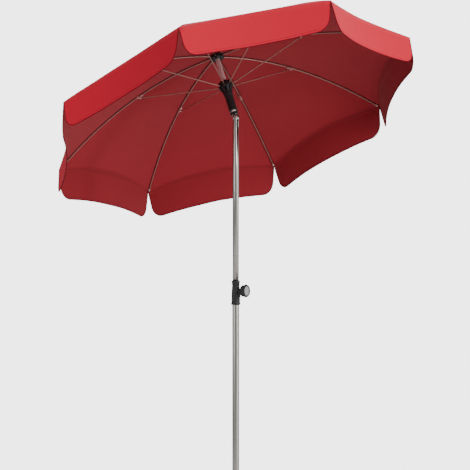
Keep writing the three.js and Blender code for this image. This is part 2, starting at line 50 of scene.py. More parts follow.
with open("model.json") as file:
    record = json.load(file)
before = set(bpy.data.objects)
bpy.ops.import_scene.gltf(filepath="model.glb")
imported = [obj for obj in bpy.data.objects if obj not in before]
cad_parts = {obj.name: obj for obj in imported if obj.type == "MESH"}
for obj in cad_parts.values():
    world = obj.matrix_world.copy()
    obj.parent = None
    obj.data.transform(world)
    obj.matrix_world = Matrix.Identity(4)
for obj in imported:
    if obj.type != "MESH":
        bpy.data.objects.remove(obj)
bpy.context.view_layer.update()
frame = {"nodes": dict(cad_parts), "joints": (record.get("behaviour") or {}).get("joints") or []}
JOINTS = {joint["name"]: joint for joint in frame["joints"]}
SPOKES = range(1, 9)
SECTOR = 2 * math.pi / len(SPOKES)
SIDES = (-1, 1)

MAST_UP = -Vector(JOINTS["runner_slide"]["axis"])
CROWN = sum((Vector(JOINTS[f"rib_fold_{k}"]["pos_m"]) for k in SPOKES), Vector()) / len(SPOKES)
RING_RADIUS = (Vector(JOINTS["rib_fold_1"]["pos_m"]) - CROWN).length
TILT_PIN = Vector(JOINTS["tilt"]["pos_m"])
PIN_HEIGHT = -(TILT_PIN - CROWN).length        # from the crown, along the mast
SHOULDER_HEIGHT = PIN_HEIGHT + 0.024           # top of the tongue's collar
RUNNER_RING = sum(
    (Vector(JOINTS[f"stretcher_fold_{k}"]["pos_m"]) for k in SPOKES), Vector()) / len(SPOKES)
RING_HEIGHT = -(RUNNER_RING - CROWN).length    # from the crown, along the mast


# ---- sizes and colours that a user would change ------------------------------

def length(name, description, default):
    return FloatProperty(
        name=name, description=description, default=default, unit="LENGTH", subtype="DISTANCE")


def colour(name, description, default):
    return FloatVectorProperty(
        name=name, description=description, default=default, size=3, min=0, max=1,
        subtype="COLOR")


class CanopySizes(bpy.types.PropertyGroup):
    reach: length("Reach", "Mast axis to the cloth's corner at a rib", 0.7535)
    rib_end: length("Rib end", "Mast axis to the end of a rib's tube", 0.739)
    rib_reach: length("Rib reach", "Mast axis to a rib tip", 0.750)
    rise: length("Rise", "Rib pivots above the rib tips", 0.224)
    bow: FloatProperty(
        name="Bow", description="Power of the rib's bow, 2 is a parabola", default=2.1)
    lift: length("Lift", "Middle of a rib to the cloth over it", 0.0048)
    hole: length("Hole", "Radius of the cloth's hole at the crown", 0.006)
    sag: length("Sag", "How far the cloth dips between ribs", 0.010)
    hem_bow: length("Hem bow", "How far the rim is drawn in halfway between ribs", 0.042)
    valance: length("Valance", "Depth of the hanging valance beside a rib", 0.116)
    deepening: length("Deepening", "Extra depth of the valance halfway between ribs", 0.016)
    flare: length("Flare", "How far the valance's lower edge stands out", 0.022)
    thickness: length("Thickness", "Thickness of the cloth", 0.0009)
    lap: length("Lap", "How far neighbouring panels lap over where they are sewn", 0.0001)
    binding: length("Binding", "Radius of the rolled binding on the valance's edge", 0.0016)
    hang: FloatProperty(
        name="Hang", description="0 along the mast, 1 straight down", default=0.65,
        min=0, max=1, subtype="FACTOR")


class FrameSizes(bpy.types.PropertyGroup):
    rib: length("Rib", "Radius of a rib's tube", 0.0022)
    stretcher: length("Stretcher", "Radius of a stretcher's bar", 0.0018)
    bracket_reach: length("Bracket reach", "Mast axis to the stretcher's outer pivot", 0.350)
    bracket_drop: length("Bracket drop", "Middle of the rib to that pivot", 0.008)
    hub: length("Hub", "Radius of the crown and the runner", 0.029)
    crown_depth: length("Crown depth", "Crown below the rib pivots", 0.012)
    sleeve: length("Sleeve", "Radius of the runner's sleeve", 0.0165)
    sleeve_end: length("Sleeve end", "Rib pivots to the sleeve's lower end", 0.252)
    slot: length("Slot", "Width of the radial slots", 0.0058)
    mast: length("Mast", "Radius of the mast", 0.0095)


class PoleSizes(bpy.types.PropertyGroup):
    upper: length("Upper pole", "Radius of the upper pole", 0.0125)
    lower: length("Lower pole", "Radius of the lower pole", 0.014)
    wall: length("Wall", "Wall of both poles", 0.001)
    fork_slot: length("Fork slot", "Width of the slot in the upper pole's fork", 0.009)
    slot_front: length("Slot front", "Slot below the pin on the open side", 0.042)
    slot_back: length("Slot back", "Slot below the pin on the lean's side", 0.013)


class Finishes(bpy.types.PropertyGroup):
    cloth_top: colour("Cloth, outer side", "Outer side of the canopy", (0.66, 0.010, 0.034))
    # The inner side is the same cloth as the outer side; its darker colour is painted shade under
    # the canopy.
    cloth_under_shaded: colour("Cloth, inner side", "Inner side of the canopy", (0.345, 0.022, 0.032))
    binding: colour("Binding", "Rolled edge of the valance", (0.15, 0.008, 0.014))
    pole: colour("Poles", "Satin drawn tube", (0.47, 0.455, 0.42))
    bright: colour("Bright steel", "Plated joint and screws", (0.78, 0.76, 0.72))
    ribs: colour("Ribs", "Drawn steel of the canopy's frame", (0.46, 0.27, 0.23))
    brackets: colour("Brackets", "Stretchers' brackets on the ribs", (0.85, 0.58, 0.53))
    mast: colour("Mast", "Lacquered tube of the mast", (0.95, 0.78, 0.76))
    plastic: colour("Black plastic", "Crown, runner, clamp and knobs", (0.016, 0.016, 0.017))
    grey: colour("Grey plastic", "Face of the clamp's knob", (0.46, 0.47, 0.46))
    tips: colour("Rib tips", "Caps on the ribs' ends", (0.66, 0.50, 0.44))
    stone: colour("Stone", "Slab of the base", (0.30, 0.29, 0.28))


class StageSizes(bpy.types.PropertyGroup):
    distance: length("Distance", "Camera to the pole", 6.60)
    height: length("Height", "Camera above the floor", 1.281)
    side: length("Side step", "Camera to the left of the pole", 0.003)
    turn: FloatProperty(
        name="Turn", description="Camera round the pole, from the open side of the tilt",
        default=math.radians(37.35), subtype="ANGLE")
    lens: FloatProperty(name="Lens", description="Focal length in millimetres", default=126.4)
    floor: length("Floor", "Radius of the pale floor", 2.1)
    ambient: FloatProperty(name="Ambient", description="Strength of the even light", default=0.37)
    backdrop: FloatProperty(
        name="Backdrop", description="Brightness of what is behind the umbrella", default=4.0)
    seed: IntProperty(name="Seed", description="Seed of the small unevenness", default=7)


PROPERTY_GROUPS = {
    "umbrella_canopy": CanopySizes,
    "umbrella_frame": FrameSizes,
    "umbrella_poles": PoleSizes,
    "umbrella_finishes": Finishes,
    "umbrella_stage": StageSizes,
}


# ---- shader maths ------------------------------------------------------------

class Value:
    """A socket whose arithmetic adds Math nodes."""

    def __init__(self, shade, socket):
        self.shade = shade
        self.socket = socket

    def _math(self, operation, first, second=None):
        inputs = {0: first} if second is None else {0: first, 1: second}
        node = self.shade.node("ShaderNodeMath", {"operation": operation}, inputs)
        return Value(self.shade, node.outputs[0])

    def __add__(self, other):
        return self._math("ADD", self, other)

    def __radd__(self, other):
        return self._math("ADD", other, self)

    def __sub__(self, other):
        return self._math("SUBTRACT", self, other)

    def __mul__(self, other):
        return self._math("MULTIPLY", self, other)

    def __rmul__(self, other):
        return self._math("MULTIPLY", other, self)

    def __lt__(self, other):
        return self._math("LESS_THAN", self, other)

    def __abs__(self):
        return self._math("ABSOLUTE", self)

    def fraction(self):
        return self._math("FRACT", self)

    def sine(self):
        return self._math("SINE", self)


class Shade:
    """One Principled material, built up node by node."""

    def __init__(self, name, base, roughness, metallic=0.0, **constants):
        self.material = bpy.data.materials.new(name)
        self.material.use_nodes = True
        self.nodes = self.material.node_tree.nodes
        self.links = self.material.node_tree.links
        self.nodes.clear()
        self.surface = self.nodes.new("ShaderNodeBsdfPrincipled")
        output = self.nodes.new("ShaderNodeOutputMaterial")
        self.links.new(self.surface.outputs["BSDF"], output.inputs["Surface"])
        self.base = tuple(base)
        self.put("Base Color", (*base, 1.0))
        self.put("Roughness", roughness)
        self.put("Metallic", metallic)
        for socket, constant in constants.items():
            self.put(socket.replace("_", " "), constant)

    def put(self, socket, value):
        self._feed(self.surface.inputs[socket], value)

    def _feed(self, socket, value):
        if isinstance(value, Value):
            self.links.new(value.socket, socket)
        elif isinstance(value, bpy.types.NodeSocket):
            self.links.new(value, socket)
        else:
            socket.default_value = value

    def node(self, kind, settings=None, inputs=None):
        """A node by its type, with settings first and then its sockets' values or links."""
        made = self.nodes.new(kind)
        for name, setting in (settings or {}).items():
            setattr(made, name, setting)
        for socket, value in (inputs or {}).items():
            self._feed(made.inputs[socket], value)
        return made

    def value(self, socket):
        return Value(self, socket)

    def place(self, scale=(1.0, 1.0, 1.0)):
        """Object coordinates, stretched."""
        coordinates = self.node("ShaderNodeTexCoord")
        return self.node(
            "ShaderNodeMapping", {}, {"Vector": coordinates.outputs["Object"], "Scale": scale}
        ).outputs["Vector"]

    def noise(self, scale, detail=3.0, where=None, roughness=0.5):
        vector = where if where is not None else self.place()
        made = self.node("ShaderNodeTexNoise", {}, {
            "Vector": vector, "Scale": scale, "Detail": detail, "Roughness": roughness})
        return self.value(made.outputs["Fac"])

    def attribute(self, name):
        made = self.node("ShaderNodeAttribute", {"attribute_name": name})
        return self.value(made.outputs["Fac"])

    def mix(self, factor, first, second):
        """Colours first and second, mixed by factor."""
        made = self.node(
            "ShaderNodeMix", {"data_type": "RGBA"}, {0: factor, 6: first, 7: second})
        return made.outputs[2]

    def shades(self, factor, darker, lighter):
        """Base colour from darker to lighter times itself by factor."""
        low = (*(channel * darker for channel in self.base), 1.0)
        high = (*(min(1.0, channel * lighter) for channel in self.base), 1.0)
        return self.mix(factor, low, high)

    def bump(self, height, strength, distance):
        made = self.node("ShaderNodeBump", {}, {
            "Height": height, "Strength": strength, "Distance": distance})
        self.put("Normal", made.outputs["Normal"])


# ---- materials ---------------------------------------------------------------

def finish_colours():
    return bpy.context.scene.umbrella_finishes


def woven(name, base, inner=False):
    """Plain-woven polyester with stitched seams beside the rib and above the hem. On the inner side
    it also gets painted shade: a dark strip along the rib, and a darker valance.
    """
    shade = Shade(name, base, 0.82, Sheen_Weight=0.08, Sheen_Roughness=0.5,
                  Specular_IOR_Level=0.15)
    across = shade.attribute("across")
    along = shade.attribute("along")
    hem = shade.attribute("hem")
    depth = bpy.context.scene.umbrella_canopy.valance
    weave = 2 * math.pi / 0.0011
    seam_to_rib, row_to_hem, half_thread = 0.0065, 0.0085, 0.0006
    stitches_per_metre, stitch_share = 260.0, 0.68
    threads = (across * weave).sine() * (along * weave).sine()
    seam = abs(abs(across) - seam_to_rib) < half_thread
    hem_row = abs(hem - row_to_hem) < half_thread
    dash = (along * stitches_per_metre).fraction() < stitch_share
    hem_dash = (across * stitches_per_metre).fraction() < stitch_share
    stitches = seam * dash + hem_row * hem_dash
    uneven = shade.noise(4.5, 4.0)
    slub = shade.noise(60.0, 2.0, shade.place((1.0, 1.0, 14.0)))
    tone = uneven * 0.7 + slub * 0.3
    plain = shade.shades(tone, 0.93, 1.07)
    if inner:
        half_painted_rib_shadow, half_fold = 0.0042, 0.006
        # Painted shadow of the rib: a strip along the rib on the inner side, at half the cloth's
        # colour.
        painted_rib_shadow = abs(across) < half_painted_rib_shadow
        # Darker inner valance, darker still in a strip at its fold: partly a facing of doubled
        # cloth, partly painted shade.
        facing_and_painted_shade = (abs(hem - depth) < half_fold) * 0.5 + (hem < depth) * 0.5
        darker = (*(channel * 0.62 for channel in base), 1.0)
        plain = shade.mix(facing_and_painted_shade * 0.5, plain, darker)
        plain = shade.mix(painted_rib_shadow, plain, (*(channel * 0.5 for channel in base), 1.0))
    thread = (*(channel * 0.35 for channel in base), 1.0)
    shade.put("Base Color", shade.mix(stitches, plain, thread))
    shade.put("Roughness", 0.76 + 0.12 * slub)
    shade.bump(threads * 0.5 + stitches * -1.5 + slub * 0.6, 0.35, 0.0004)
    return shade.material


def cloth_top(name):
    return woven(name, finish_colours().cloth_top)


# Painted shade: the inner side's colour is the outer cloth's, darkened to stand for the shade under
# the canopy.
def cloth_under_shaded(name):
    return woven(name, finish_colours().cloth_under_shaded, inner=True)


def rolled_binding(name):
    shade = Shade(name, finish_colours().binding, 0.85, Specular_IOR_Level=0.1)
    twill = (shade.noise(900.0, 2.0) * 0.6) + (shade.noise(12.0, 2.0) * 0.4)
    shade.put("Base Color", shade.shades(twill, 0.75, 1.3))
    shade.bump(twill, 0.4, 0.0004)
    return shade.material


def drawn_tube(name, base, roughness, streak, metallic=1.0):
    """Metal tube with fine scratches along the drawing direction and faint handling marks."""
    shade = Shade(name, base, roughness, metallic)
    scratches = shade.noise(streak, 3.0, shade.place((1.0, 1.0, 0.012)))
    smudges = shade.noise(14.0, 3.0)
    shade.put("Base Color", shade.shades(scratches * 0.5 + smudges * 0.5, 0.9, 1.06))
    shade.put("Roughness", (roughness - 0.08) + scratches * 0.12 + smudges * 0.05)
    shade.bump(scratches, 0.05, 0.0001)
    return shade.material


def bracket_steel(name):
    return drawn_tube(name, finish_colours().brackets, 0.5, 300.0, 0.4)


def satin_pole(name):
    return drawn_tube(name, finish_colours().pole, 0.30, 420.0)


def rib_steel(name):
    return drawn_tube(name, finish_colours().ribs, 0.36, 700.0)


def mast_steel(name):
    return drawn_tube(name, finish_colours().mast, 0.5, 500.0, 0.25)


def bright_steel(name):
    return drawn_tube(name, finish_colours().bright, 0.20, 500.0)


def moulded(name, base, roughness, grain):
    """Moulded plastic with a spark-eroded grain and worn, slightly lighter high spots."""
    shade = Shade(name, base, roughness, Specular_IOR_Level=0.45)
    erosion = shade.noise(grain, 2.0)
    wear = shade.noise(38.0, 5.0, roughness=0.7)
    shade.put("Base Color", shade.shades(wear, 0.8, 1.45))
    shade.put("Roughness", (roughness - 0.06) + wear * 0.14)
    shade.bump(erosion * 0.7 + wear * 0.3, 0.25, 0.0003)
    return shade.material


def black_plastic(name):
    return moulded(name, finish_colours().plastic, 0.46, 1800.0)


def tip_plastic(name):
    return moulded(name, finish_colours().tips, 0.42, 1200.0)


def knob_face(name):
    """Grey plastic with a moulded diamond grip."""
    shade = Shade(name, finish_colours().grey, 0.5)
    place = shade.place()
    split = shade.node("ShaderNodeSeparateXYZ", {}, {"Vector": place})
    wide = shade.value(split.outputs["X"]) * 1300.0
    tall = shade.value(split.outputs["Z"]) * 1300.0
    grip = (wide + tall).sine() * (wide - tall).sine()
    wear = shade.noise(70.0, 3.0)
    shade.put("Base Color", shade.shades(grip * 0.35 + wear * 0.5 + 0.2, 0.72, 1.25))
    shade.put("Roughness", 0.42 + wear * 0.16)
    shade.bump(grip + wear * 0.3, 0.6, 0.0006)
    return shade.material


def granite(name):
    shade = Shade(name, finish_colours().stone, 0.55)
    grains = shade.node(
        "ShaderNodeTexVoronoi", {"feature": "F1"},
        {"Vector": shade.place(), "Scale": 260.0}).outputs["Color"]
    grey = shade.node("ShaderNodeRGBToBW", {}, {"Color": grains}).outputs["Val"]
    clouds = shade.noise(9.0, 4.0)
    speckle = shade.value(grey) * 0.75 + clouds * 0.4
    shade.put("Base Color", shade.shades(speckle, 0.35, 1.9))
    shade.put("Roughness", 0.42 + shade.value(grey) * 0.22)
    shade.bump(speckle, 0.15, 0.0005)
    return shade.material


def rubber(name):
    shade = Shade(name, (0.02, 0.02, 0.02), 0.85)
    dust = shade.noise(120.0, 4.0)
    shade.put("Base Color", shade.shades(dust, 0.7, 2.0))
    shade.bump(dust, 0.3, 0.0005)
    return shade.material


def pale_floor(name):
    shade = Shade(name, (0.86, 0.86, 0.86), 0.7)
    cloudy = shade.noise(2.0, 3.0)
    shade.put("Base Color", shade.shades(cloudy, 0.98, 1.02))
    return shade.material


MAKERS = {
    "canopy_cloth_outer": cloth_top,
    "canopy_cloth_inner": cloth_under_shaded,
    "valance_binding": rolled_binding,
    "satin_pole": satin_pole,
    "rib_steel": rib_steel,
    "bracket_steel": bracket_steel,
    "mast_steel": mast_steel,
    "bright_steel": bright_steel,
    "black_plastic": black_plastic,
    "tip_plastic": tip_plastic,
    "knob_face": knob_face,
    "granite": granite,
    "rubber": rubber,
    "pale_floor": pale_floor,
}


materials_made = {}


def finish(name):
    """The material of that name, made when it is first asked for."""
    if name not in materials_made:
        materials_made[name] = MAKERS[name](name)
    return materials_made[name]


# ---- meshes ------------------------------------------------------------------

def object_from(bm, name, materials, place=None, crease=35.0):
    """A mesh object with smooth faces and sharp edges above the crease angle."""
    bmesh.ops.remove_doubles(bm, verts=bm.verts, dist=1e-6)
    bmesh.ops.recalc_face_normals(bm, faces=bm.faces)
    for edge in bm.edges:
        if len(edge.link_faces) == 2 and edge.calc_face_angle(0) > math.radians(crease):
            edge.smooth = False
    for face in bm.faces:
        face.smooth = True
    if place is not None:
        bm.transform(place)
    mesh = bpy.data.meshes.new(name)
    bm.to_mesh(mesh)
    bm.free()
    for material in materials:
        mesh.materials.append(finish(material))
    made = bpy.data.objects.new(name, mesh)
    bpy.context.scene.collection.objects.link(made)
    return made


def settle(piece):
    """Applies a piece's modifiers to its mesh."""
    bpy.context.view_layer.update()
    graph = bpy.context.evaluated_depsgraph_get()
    mesh = bpy.data.meshes.new_from_object(piece.evaluated_get(graph))
    piece.modifiers.clear()
    piece.data = mesh


def stand_for(piece, body, *nodes):
    """Moves a piece with a body and lets it take the place of CAD nodes."""
    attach(piece, body)
    if nodes:
        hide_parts(*nodes)


def soften(profile, radius, steps=3):
    """Profile corners rounded by short arcs, but for the first and the last."""
    points = [Vector(point) for point in profile]
    out = [points[0]]
    for before, corner, after in zip(points, points[1:], points[2:]):
        to_before, to_after = before - corner, after - corner
        reach = min(radius, to_before.length * 0.45, to_after.length * 0.45)
        if reach < 1e-6:
            out.append(corner)
            continue
        start = corner + to_before.normalized() * reach
        end = corner + to_after.normalized() * reach
        for step in range(steps + 1):
            share = step / steps
            out.append(
                start * (1 - share) ** 2 + corner * 2 * share * (1 - share) + end * share ** 2)
    out.append(points[-1])
    return out


def revolve(bm, profile, segments=64, rounding=0.0006, place=None):
    """Turns (radius, height) corners about Z. A closed profile ends where it starts."""
    closed = (Vector(profile[0]) - Vector(profile[-1])).length < 1e-9
    points = soften(profile, rounding)
    rings = []
    for radius, height in points[:-1] if closed else points:
        if radius < 1e-7:
            rings.append([bm.verts.new((0, 0, height))])
            continue
        rings.append([
            bm.verts.new((
                radius * math.cos(2 * math.pi * step / segments),
                radius * math.sin(2 * math.pi * step / segments), height))
            for step in range(segments)])
    for lower, upper in zip(rings, rings[1:] + rings[:1] if closed else rings[1:]):
        for step in range(segments):
            after = (step + 1) % segments
            ring = [lower[step % len(lower)], lower[after % len(lower)],
                    upper[after % len(upper)], upper[step % len(upper)]]
            corners = list(dict.fromkeys(ring))
            if len(corners) > 2:
                bm.faces.new(corners)
    if place is not None:
        bmesh.ops.transform(bm, matrix=place, verts=[v for ring in rings for v in ring])


def turned(name, profile, material, place=None, **options):
    """A turned object of one material."""
    bm = bmesh.new()
    revolve(bm, profile, **options)
    return object_from(bm, name, [material], place)


def tube_profile(radius, wall, low, high):
    inner = radius - wall
    return [(inner, low), (radius, low), (radius, high), (inner, high), (inner, low)]


def sweep(bm, points, radius, sides):
    """Closed round bar along points, with its rings kept from twisting."""
    count = len(points)
    tangents = [
        (points[min(i + 1, count - 1)] - points[max(i - 1, 0)]).normalized()
        for i in range(count)]
    normal = tangents[0].orthogonal().normalized()
    rings = []
    for point, tangent in zip(points, tangents):
        normal = (normal - tangent * normal.dot(tangent)).normalized()
        side = tangent.cross(normal)
        rings.append([
            bm.verts.new(
                point + normal * radius * math.cos(2 * math.pi * step / sides)
                + side * radius * math.sin(2 * math.pi * step / sides))
            for step in range(sides)])
    for lower, upper in zip(rings, rings[1:]):
        for step in range(sides):
            after = (step + 1) % sides
            bm.faces.new((lower[step], lower[after], upper[after], upper[step]))
    bm.faces.new(rings[0][::-1])
    bm.faces.new(rings[-1])


def slab(bm, outline, thickness, place=None):
    """Plate with an (x, z) outline, centred on y = 0."""
    half = thickness / 2
    front = [bm.verts.new((x, -half, z)) for x, z in outline]
    back = [bm.verts.new((x, half, z)) for x, z in outline]
    bm.faces.new(front)
    bm.faces.new(back[::-1])
    for step in range(len(outline)):
        after = (step + 1) % len(outline)
        bm.faces.new((front[step], back[step], back[after], front[after]))
    if place is not None:
        bmesh.ops.transform(bm, matrix=place, verts=front + back)


def cylinder(bm, radius, low, high, place, sides=40, rounding=0.0006):
    revolve(bm, [(0, low), (radius, low), (radius, high), (0, high)], sides, rounding, place)


def arc(x, z, radius, start, end, steps=8):
    """Points of an arc about (x, z), from start to end in degrees."""
    return [
        (x + radius * math.cos(math.radians(start + (end - start) * step / steps)),
         z + radius * math.sin(math.radians(start + (end - start) * step / steps)))
        for step in range(steps + 1)]


def cut_from(piece, shapes):
    """Cuts a bmesh of closed shapes out of a piece."""
    cutter = object_from(shapes, piece.name + "_cutter", ["black_plastic"])
    change = piece.modifiers.new("cut", "BOOLEAN")
    change.object = cutter
    change.operation = "DIFFERENCE"
    change.solver = "EXACT"
    settle(piece)
    bpy.data.objects.remove(cutter)


# ---- places in the frame -----------------------------------------------------

def upright(direction, about, origin):
    """Matrix with Z along direction, X near about."""
    z = Vector(direction).normalized()
    x = (Vector(about) - z * Vector(about).dot(z)).normalized()
    y = z.cross(x)
    matrix = Matrix((x, y, z)).transposed().to_4x4()
    matrix.translation = origin
    return matrix


def spoke_frame(k):
    """Origin on the crown's pivots, X along rib k, Z up the mast."""
    pivot = Vector(JOINTS[f"rib_fold_{k}"]["pos_m"])
    return upright(MAST_UP, pivot - CROWN, CROWN)


def head_frame():
    return spoke_frame(1)


def facing(axis, origin, about=(0, 0, 1)):
    return upright(axis, about, origin)


def rib_height(reach):
    """Height of a rib's middle at that distance from the mast's axis."""
    sizes = bpy.context.scene.umbrella_canopy
    share = max(0.0, (reach - RING_RADIUS) / (sizes.rib_reach - RING_RADIUS))
    return -sizes.rise * share ** sizes.bow


# ---- canopy cloth ------------------------------------------------------------

DOME_ROWS, HANG_ROWS, HALF_COLUMNS = 28, 9, 14
CLAMPED_RADIUS = 0.034           # the cloth's nearly flat middle, over the crown

# Each strip's name, where it ends along the rib and how much of its width would be left if it were
# folded.
STRIPS = (
    ("canopy_crown", 0.10, 0.80),
    ("canopy_shoulder", 0.24, 0.54),
    ("canopy_middle", 0.46, 0.37),
    ("canopy_lower", 0.72, 0.27),
    ("canopy_skirt", None, 0.17),
)


def cloth_point(reach, side):
    """Place on the cloth, with side from -0.5 to 0.5 of the way between ribs and the rib along X."""
    sizes = bpy.context.scene.umbrella_canopy
    step = 0.001
    slope = (rib_height(reach + step) - rib_height(reach - step)) / (2 * step)
    normal = Vector((-slope, 0, 1)).normalized() * sizes.lift
    on_rib = Vector((reach, 0, rib_height(reach))) + normal
    turn = Matrix.Rotation(SECTOR if side >= 0 else -SECTOR, 3, "Z")
    share = abs(side)
    middle = 4 * share * (1 - share)
    along = min(1.0, reach / sizes.rib_reach)
    sag = sizes.sag * math.sin(math.pi * along) ** 2 * middle
    return on_rib.lerp(turn @ on_rib, share) - Vector((0, 0, sag))


def rim_reach(side):
    """Mast axis to the cloth's rim, where the valance starts."""
    sizes = bpy.context.scene.umbrella_canopy
    return sizes.reach - sizes.hem_bow * 4 * abs(side) * (1 - abs(side))


def gap_edge(depth):
    """Rib to the valance's side edge, as a share of the gore, at 0 to 1 of the valance's depth."""
    opening, rounding, corner_start = 0.042, 0.062, 0.62
    corner = max(0.0, (depth - corner_start) / (1 - corner_start))
    return opening * depth + rounding * (1 - math.sqrt(max(0.0, 1 - corner ** 2)))


def panel_vertex(reach, side, drop, hem):
    """A place on the panel with its weave: across, along and the way left to the hem."""
    point = cloth_point(reach, side)
    return point + drop, (point.y, reach + drop.length, hem)


def dome_line(row, sign):
    """One row of the panel's dome on one side of the rib."""
    sizes = bpy.context.scene.umbrella_canopy
    line = []
    for column in range(HALF_COLUMNS + 1):
        side = sign * 0.5 * column / HALF_COLUMNS
        rim = rim_reach(side)
        reach = sizes.hole if row == 0 else (
            CLAMPED_RADIUS + (rim - CLAMPED_RADIUS) * (row - 1) / (DOME_ROWS - 1))
        line.append(panel_vertex(reach, side, Vector((0, 0, 0)), sizes.valance + rim - reach))
    return line


def valance_line(row, sign, down):
    """One row of the panel's hanging valance on one side of the rib."""
    sizes = bpy.context.scene.umbrella_canopy
    depth = math.sin(0.5 * math.pi * row / HANG_ROWS)
    start = gap_edge(depth)
    line = []
    for column in range(HALF_COLUMNS + 1):
        side = sign * (start + (0.5 - start) * column / HALF_COLUMNS)
        run = sizes.valance + sizes.deepening * (4 * abs(side) * (1 - abs(side)))
        turn = side * SECTOR
        outward = Vector((math.cos(turn), math.sin(turn), 0))
        drop = down * run * depth + outward * sizes.flare * depth
        line.append(panel_vertex(rim_reach(side), side, drop, run * (1 - depth)))
    return line


def wrinkle(point, hem):
    """Small unevenness of the stretched cloth, the same for both panels where they meet."""
    sizes = bpy.context.scene.umbrella_canopy
    seed = bpy.context.scene.umbrella_stage.seed
    lumps = noise.noise(Vector((point.x * 7, point.y * 7, point.z * 7 + seed)))
    return MAST_UP * lumps * (0.0022 if hem < sizes.valance else 0.0009)


def panel_rows(k):
    """Rows of the panel over rib k, each a line of [place, weave] for either side of the rib."""
    to_world = spoke_frame(k)
    plumb = to_world.to_3x3().inverted() @ Vector((0, 0, -1))
    hang = bpy.context.scene.umbrella_canopy.hang
    down = Vector((0, 0, -1)).lerp(plumb, hang).normalized()
    rows = [[dome_line(row, sign) for sign in SIDES] for row in range(DOME_ROWS + 1)]
    rows += [[valance_line(row, sign, down) for sign in SIDES] for row in range(1, HANG_ROWS + 1)]

    def placed(point, weave):
        world = to_world @ point
        return [world + wrinkle(world, weave[2]), weave]

    return [[[placed(*vertex) for vertex in line] for line in pair] for pair in rows]


def meeting_normal(k, sign):
    """Normal of the plane where the panel over rib k meets its neighbour."""
    turn = sign * SECTOR / 2
    return spoke_frame(k).to_3x3() @ Vector((-math.sin(turn), math.cos(turn), 0))


def grid_of(k):
    """The panel's rows with a normal after each place and weave, lapped over the neighbours'."""
    rows = panel_rows(k)
    lap = bpy.context.scene.umbrella_canopy.lap
    last = HALF_COLUMNS
    for side, sign in enumerate(SIDES):
        meeting = meeting_normal(k, sign)
        for row, pair in enumerate(rows):
            line, other = pair[side], pair[1 - side]
            above, below = rows[max(0, row - 1)][side], rows[min(len(rows) - 1, row + 1)][side]
            for column, vertex in enumerate(line):
                inward = line[max(0, column - 1)][0]
                if column == 0 and (other[0][0] - vertex[0]).length < 1e-5:
                    inward = other[1][0]
                across = line[min(last, column + 1)][0] - inward
                down = below[column][0] - above[column][0]
                normal = down.cross(across) * sign
                if column == last:
                    normal -= meeting * normal.dot(meeting)
                vertex.append(normal.normalized())
        for pair in rows:
            pair[side][last][0] = pair[side][last][0] + meeting * sign * lap
    return rows


def strip_faces(first, last):
    """Corners as (row, side, column) of the faces between two rows."""
    for row in range(first, last):
        for side, sign in enumerate(SIDES):
            for column in range(HALF_COLUMNS):
                ring = [(row, side, column), (row + 1, side, column),
                        (row + 1, side, column + 1), (row, side, column + 1)]
                yield ring if sign > 0 else ring[::-1]


def strip_surface(rows, first, last):
    """Places, weave, normals and faces of the cloth between two rows, equal places joined."""
    places, weave, normals, index = [], [], [], {}

    def corner(key):
        row, side, column = key
        place, coordinates, normal = rows[row][side][column]
        spot = tuple(round(value, 5) for value in place)
        if spot not in index:
            index[spot] = len(places)
            places.append(place)
            weave.append(coordinates)
            normals.append(normal)
        return index[spot]

    faces = [list(dict.fromkeys(corner(key) for key in ring))
             for ring in strip_faces(first, last)]
    return places, weave, normals, [face for face in faces if len(face) > 2]


def face_area(corners):
    """Area of a face, fanned from its first corner."""
    start = corners[0]
    return sum((one - start).cross(two - start).length / 2
               for one, two in zip(corners[1:], corners[2:]))


def rim_of(faces):
    """Edges that only one face has."""
    edges = dict.fromkeys(
        edge for face in faces for edge in zip(face, face[1:] + face[:1]))
    return [edge for edge in edges if edge[::-1] not in edges]


def build_strip(k, name, rows, first, last):
    """Closed two-layer strip of the panel over rib k. Strips meet exactly while it is open."""
    thickness = bpy.context.scene.umbrella_canopy.thickness
    places, weave, normals, faces = strip_surface(rows, first, last)
    count = len(places)
    rim = rim_of(faces)
    outer = [place + normal * thickness for place, normal in zip(places, normals)]
    polygons = [[corner + count for corner in face] for face in faces]
    polygons += [face[::-1] for face in faces]
    polygons += [[one, two, two + count, one + count] for one, two in rim]
    materials = [0] * len(faces) + [1] * len(faces) + [2] * len(rim)
    mesh = bpy.data.meshes.new(f"{name}_{k}")
    mesh.from_pydata(places + outer, [], polygons)
    for material in ("canopy_cloth_outer", "canopy_cloth_inner", "valance_binding"):
        mesh.materials.append(finish(material))
    for layer, label in enumerate(("across", "along", "hem")):
        attribute = mesh.attributes.new(label, "FLOAT", "POINT")
        attribute.data.foreach_set("value", [coordinates[layer] for coordinates in weave] * 2)
    shading = []
    for polygon, material in zip(mesh.polygons, materials):
        polygon.material_index = material
        polygon.use_smooth = True
        for vertex in polygon.vertices:
            shading.append(
                polygon.normal.copy() if material == 2
                else normals[vertex % count] * (1 if material == 0 else -1))
    mesh.normals_split_custom_set(shading)
    strip = bpy.data.objects.new(f"{name}_{k}", mesh)
    bpy.context.scene.collection.objects.link(strip)
    return strip, sum(face_area([places[corner] for corner in face]) for face in faces)


def along_rib(rows, row):
    """How far along the rib a row starts."""
    _, (_, along, _), _ = rows[row][1][0]
    return along


def build_binding(k):
    """Rolled binding along the valance's lower edge and up both sides of the gap."""
    sizes = bpy.context.scene.umbrella_canopy
    rows = panel_rows(k)
    left, right = (
        [pair[side][0][0] for pair in rows[-HANG_ROWS - 1:]]
        + [vertex[0] for vertex in rows[-1][side][1:]]
        for side in range(len(SIDES)))
    bm = bmesh.new()
    sweep(bm, left[::-1] + right[1:], sizes.binding, 8)
    return object_from(bm, f"valance_binding_{k}", ["valance_binding"])


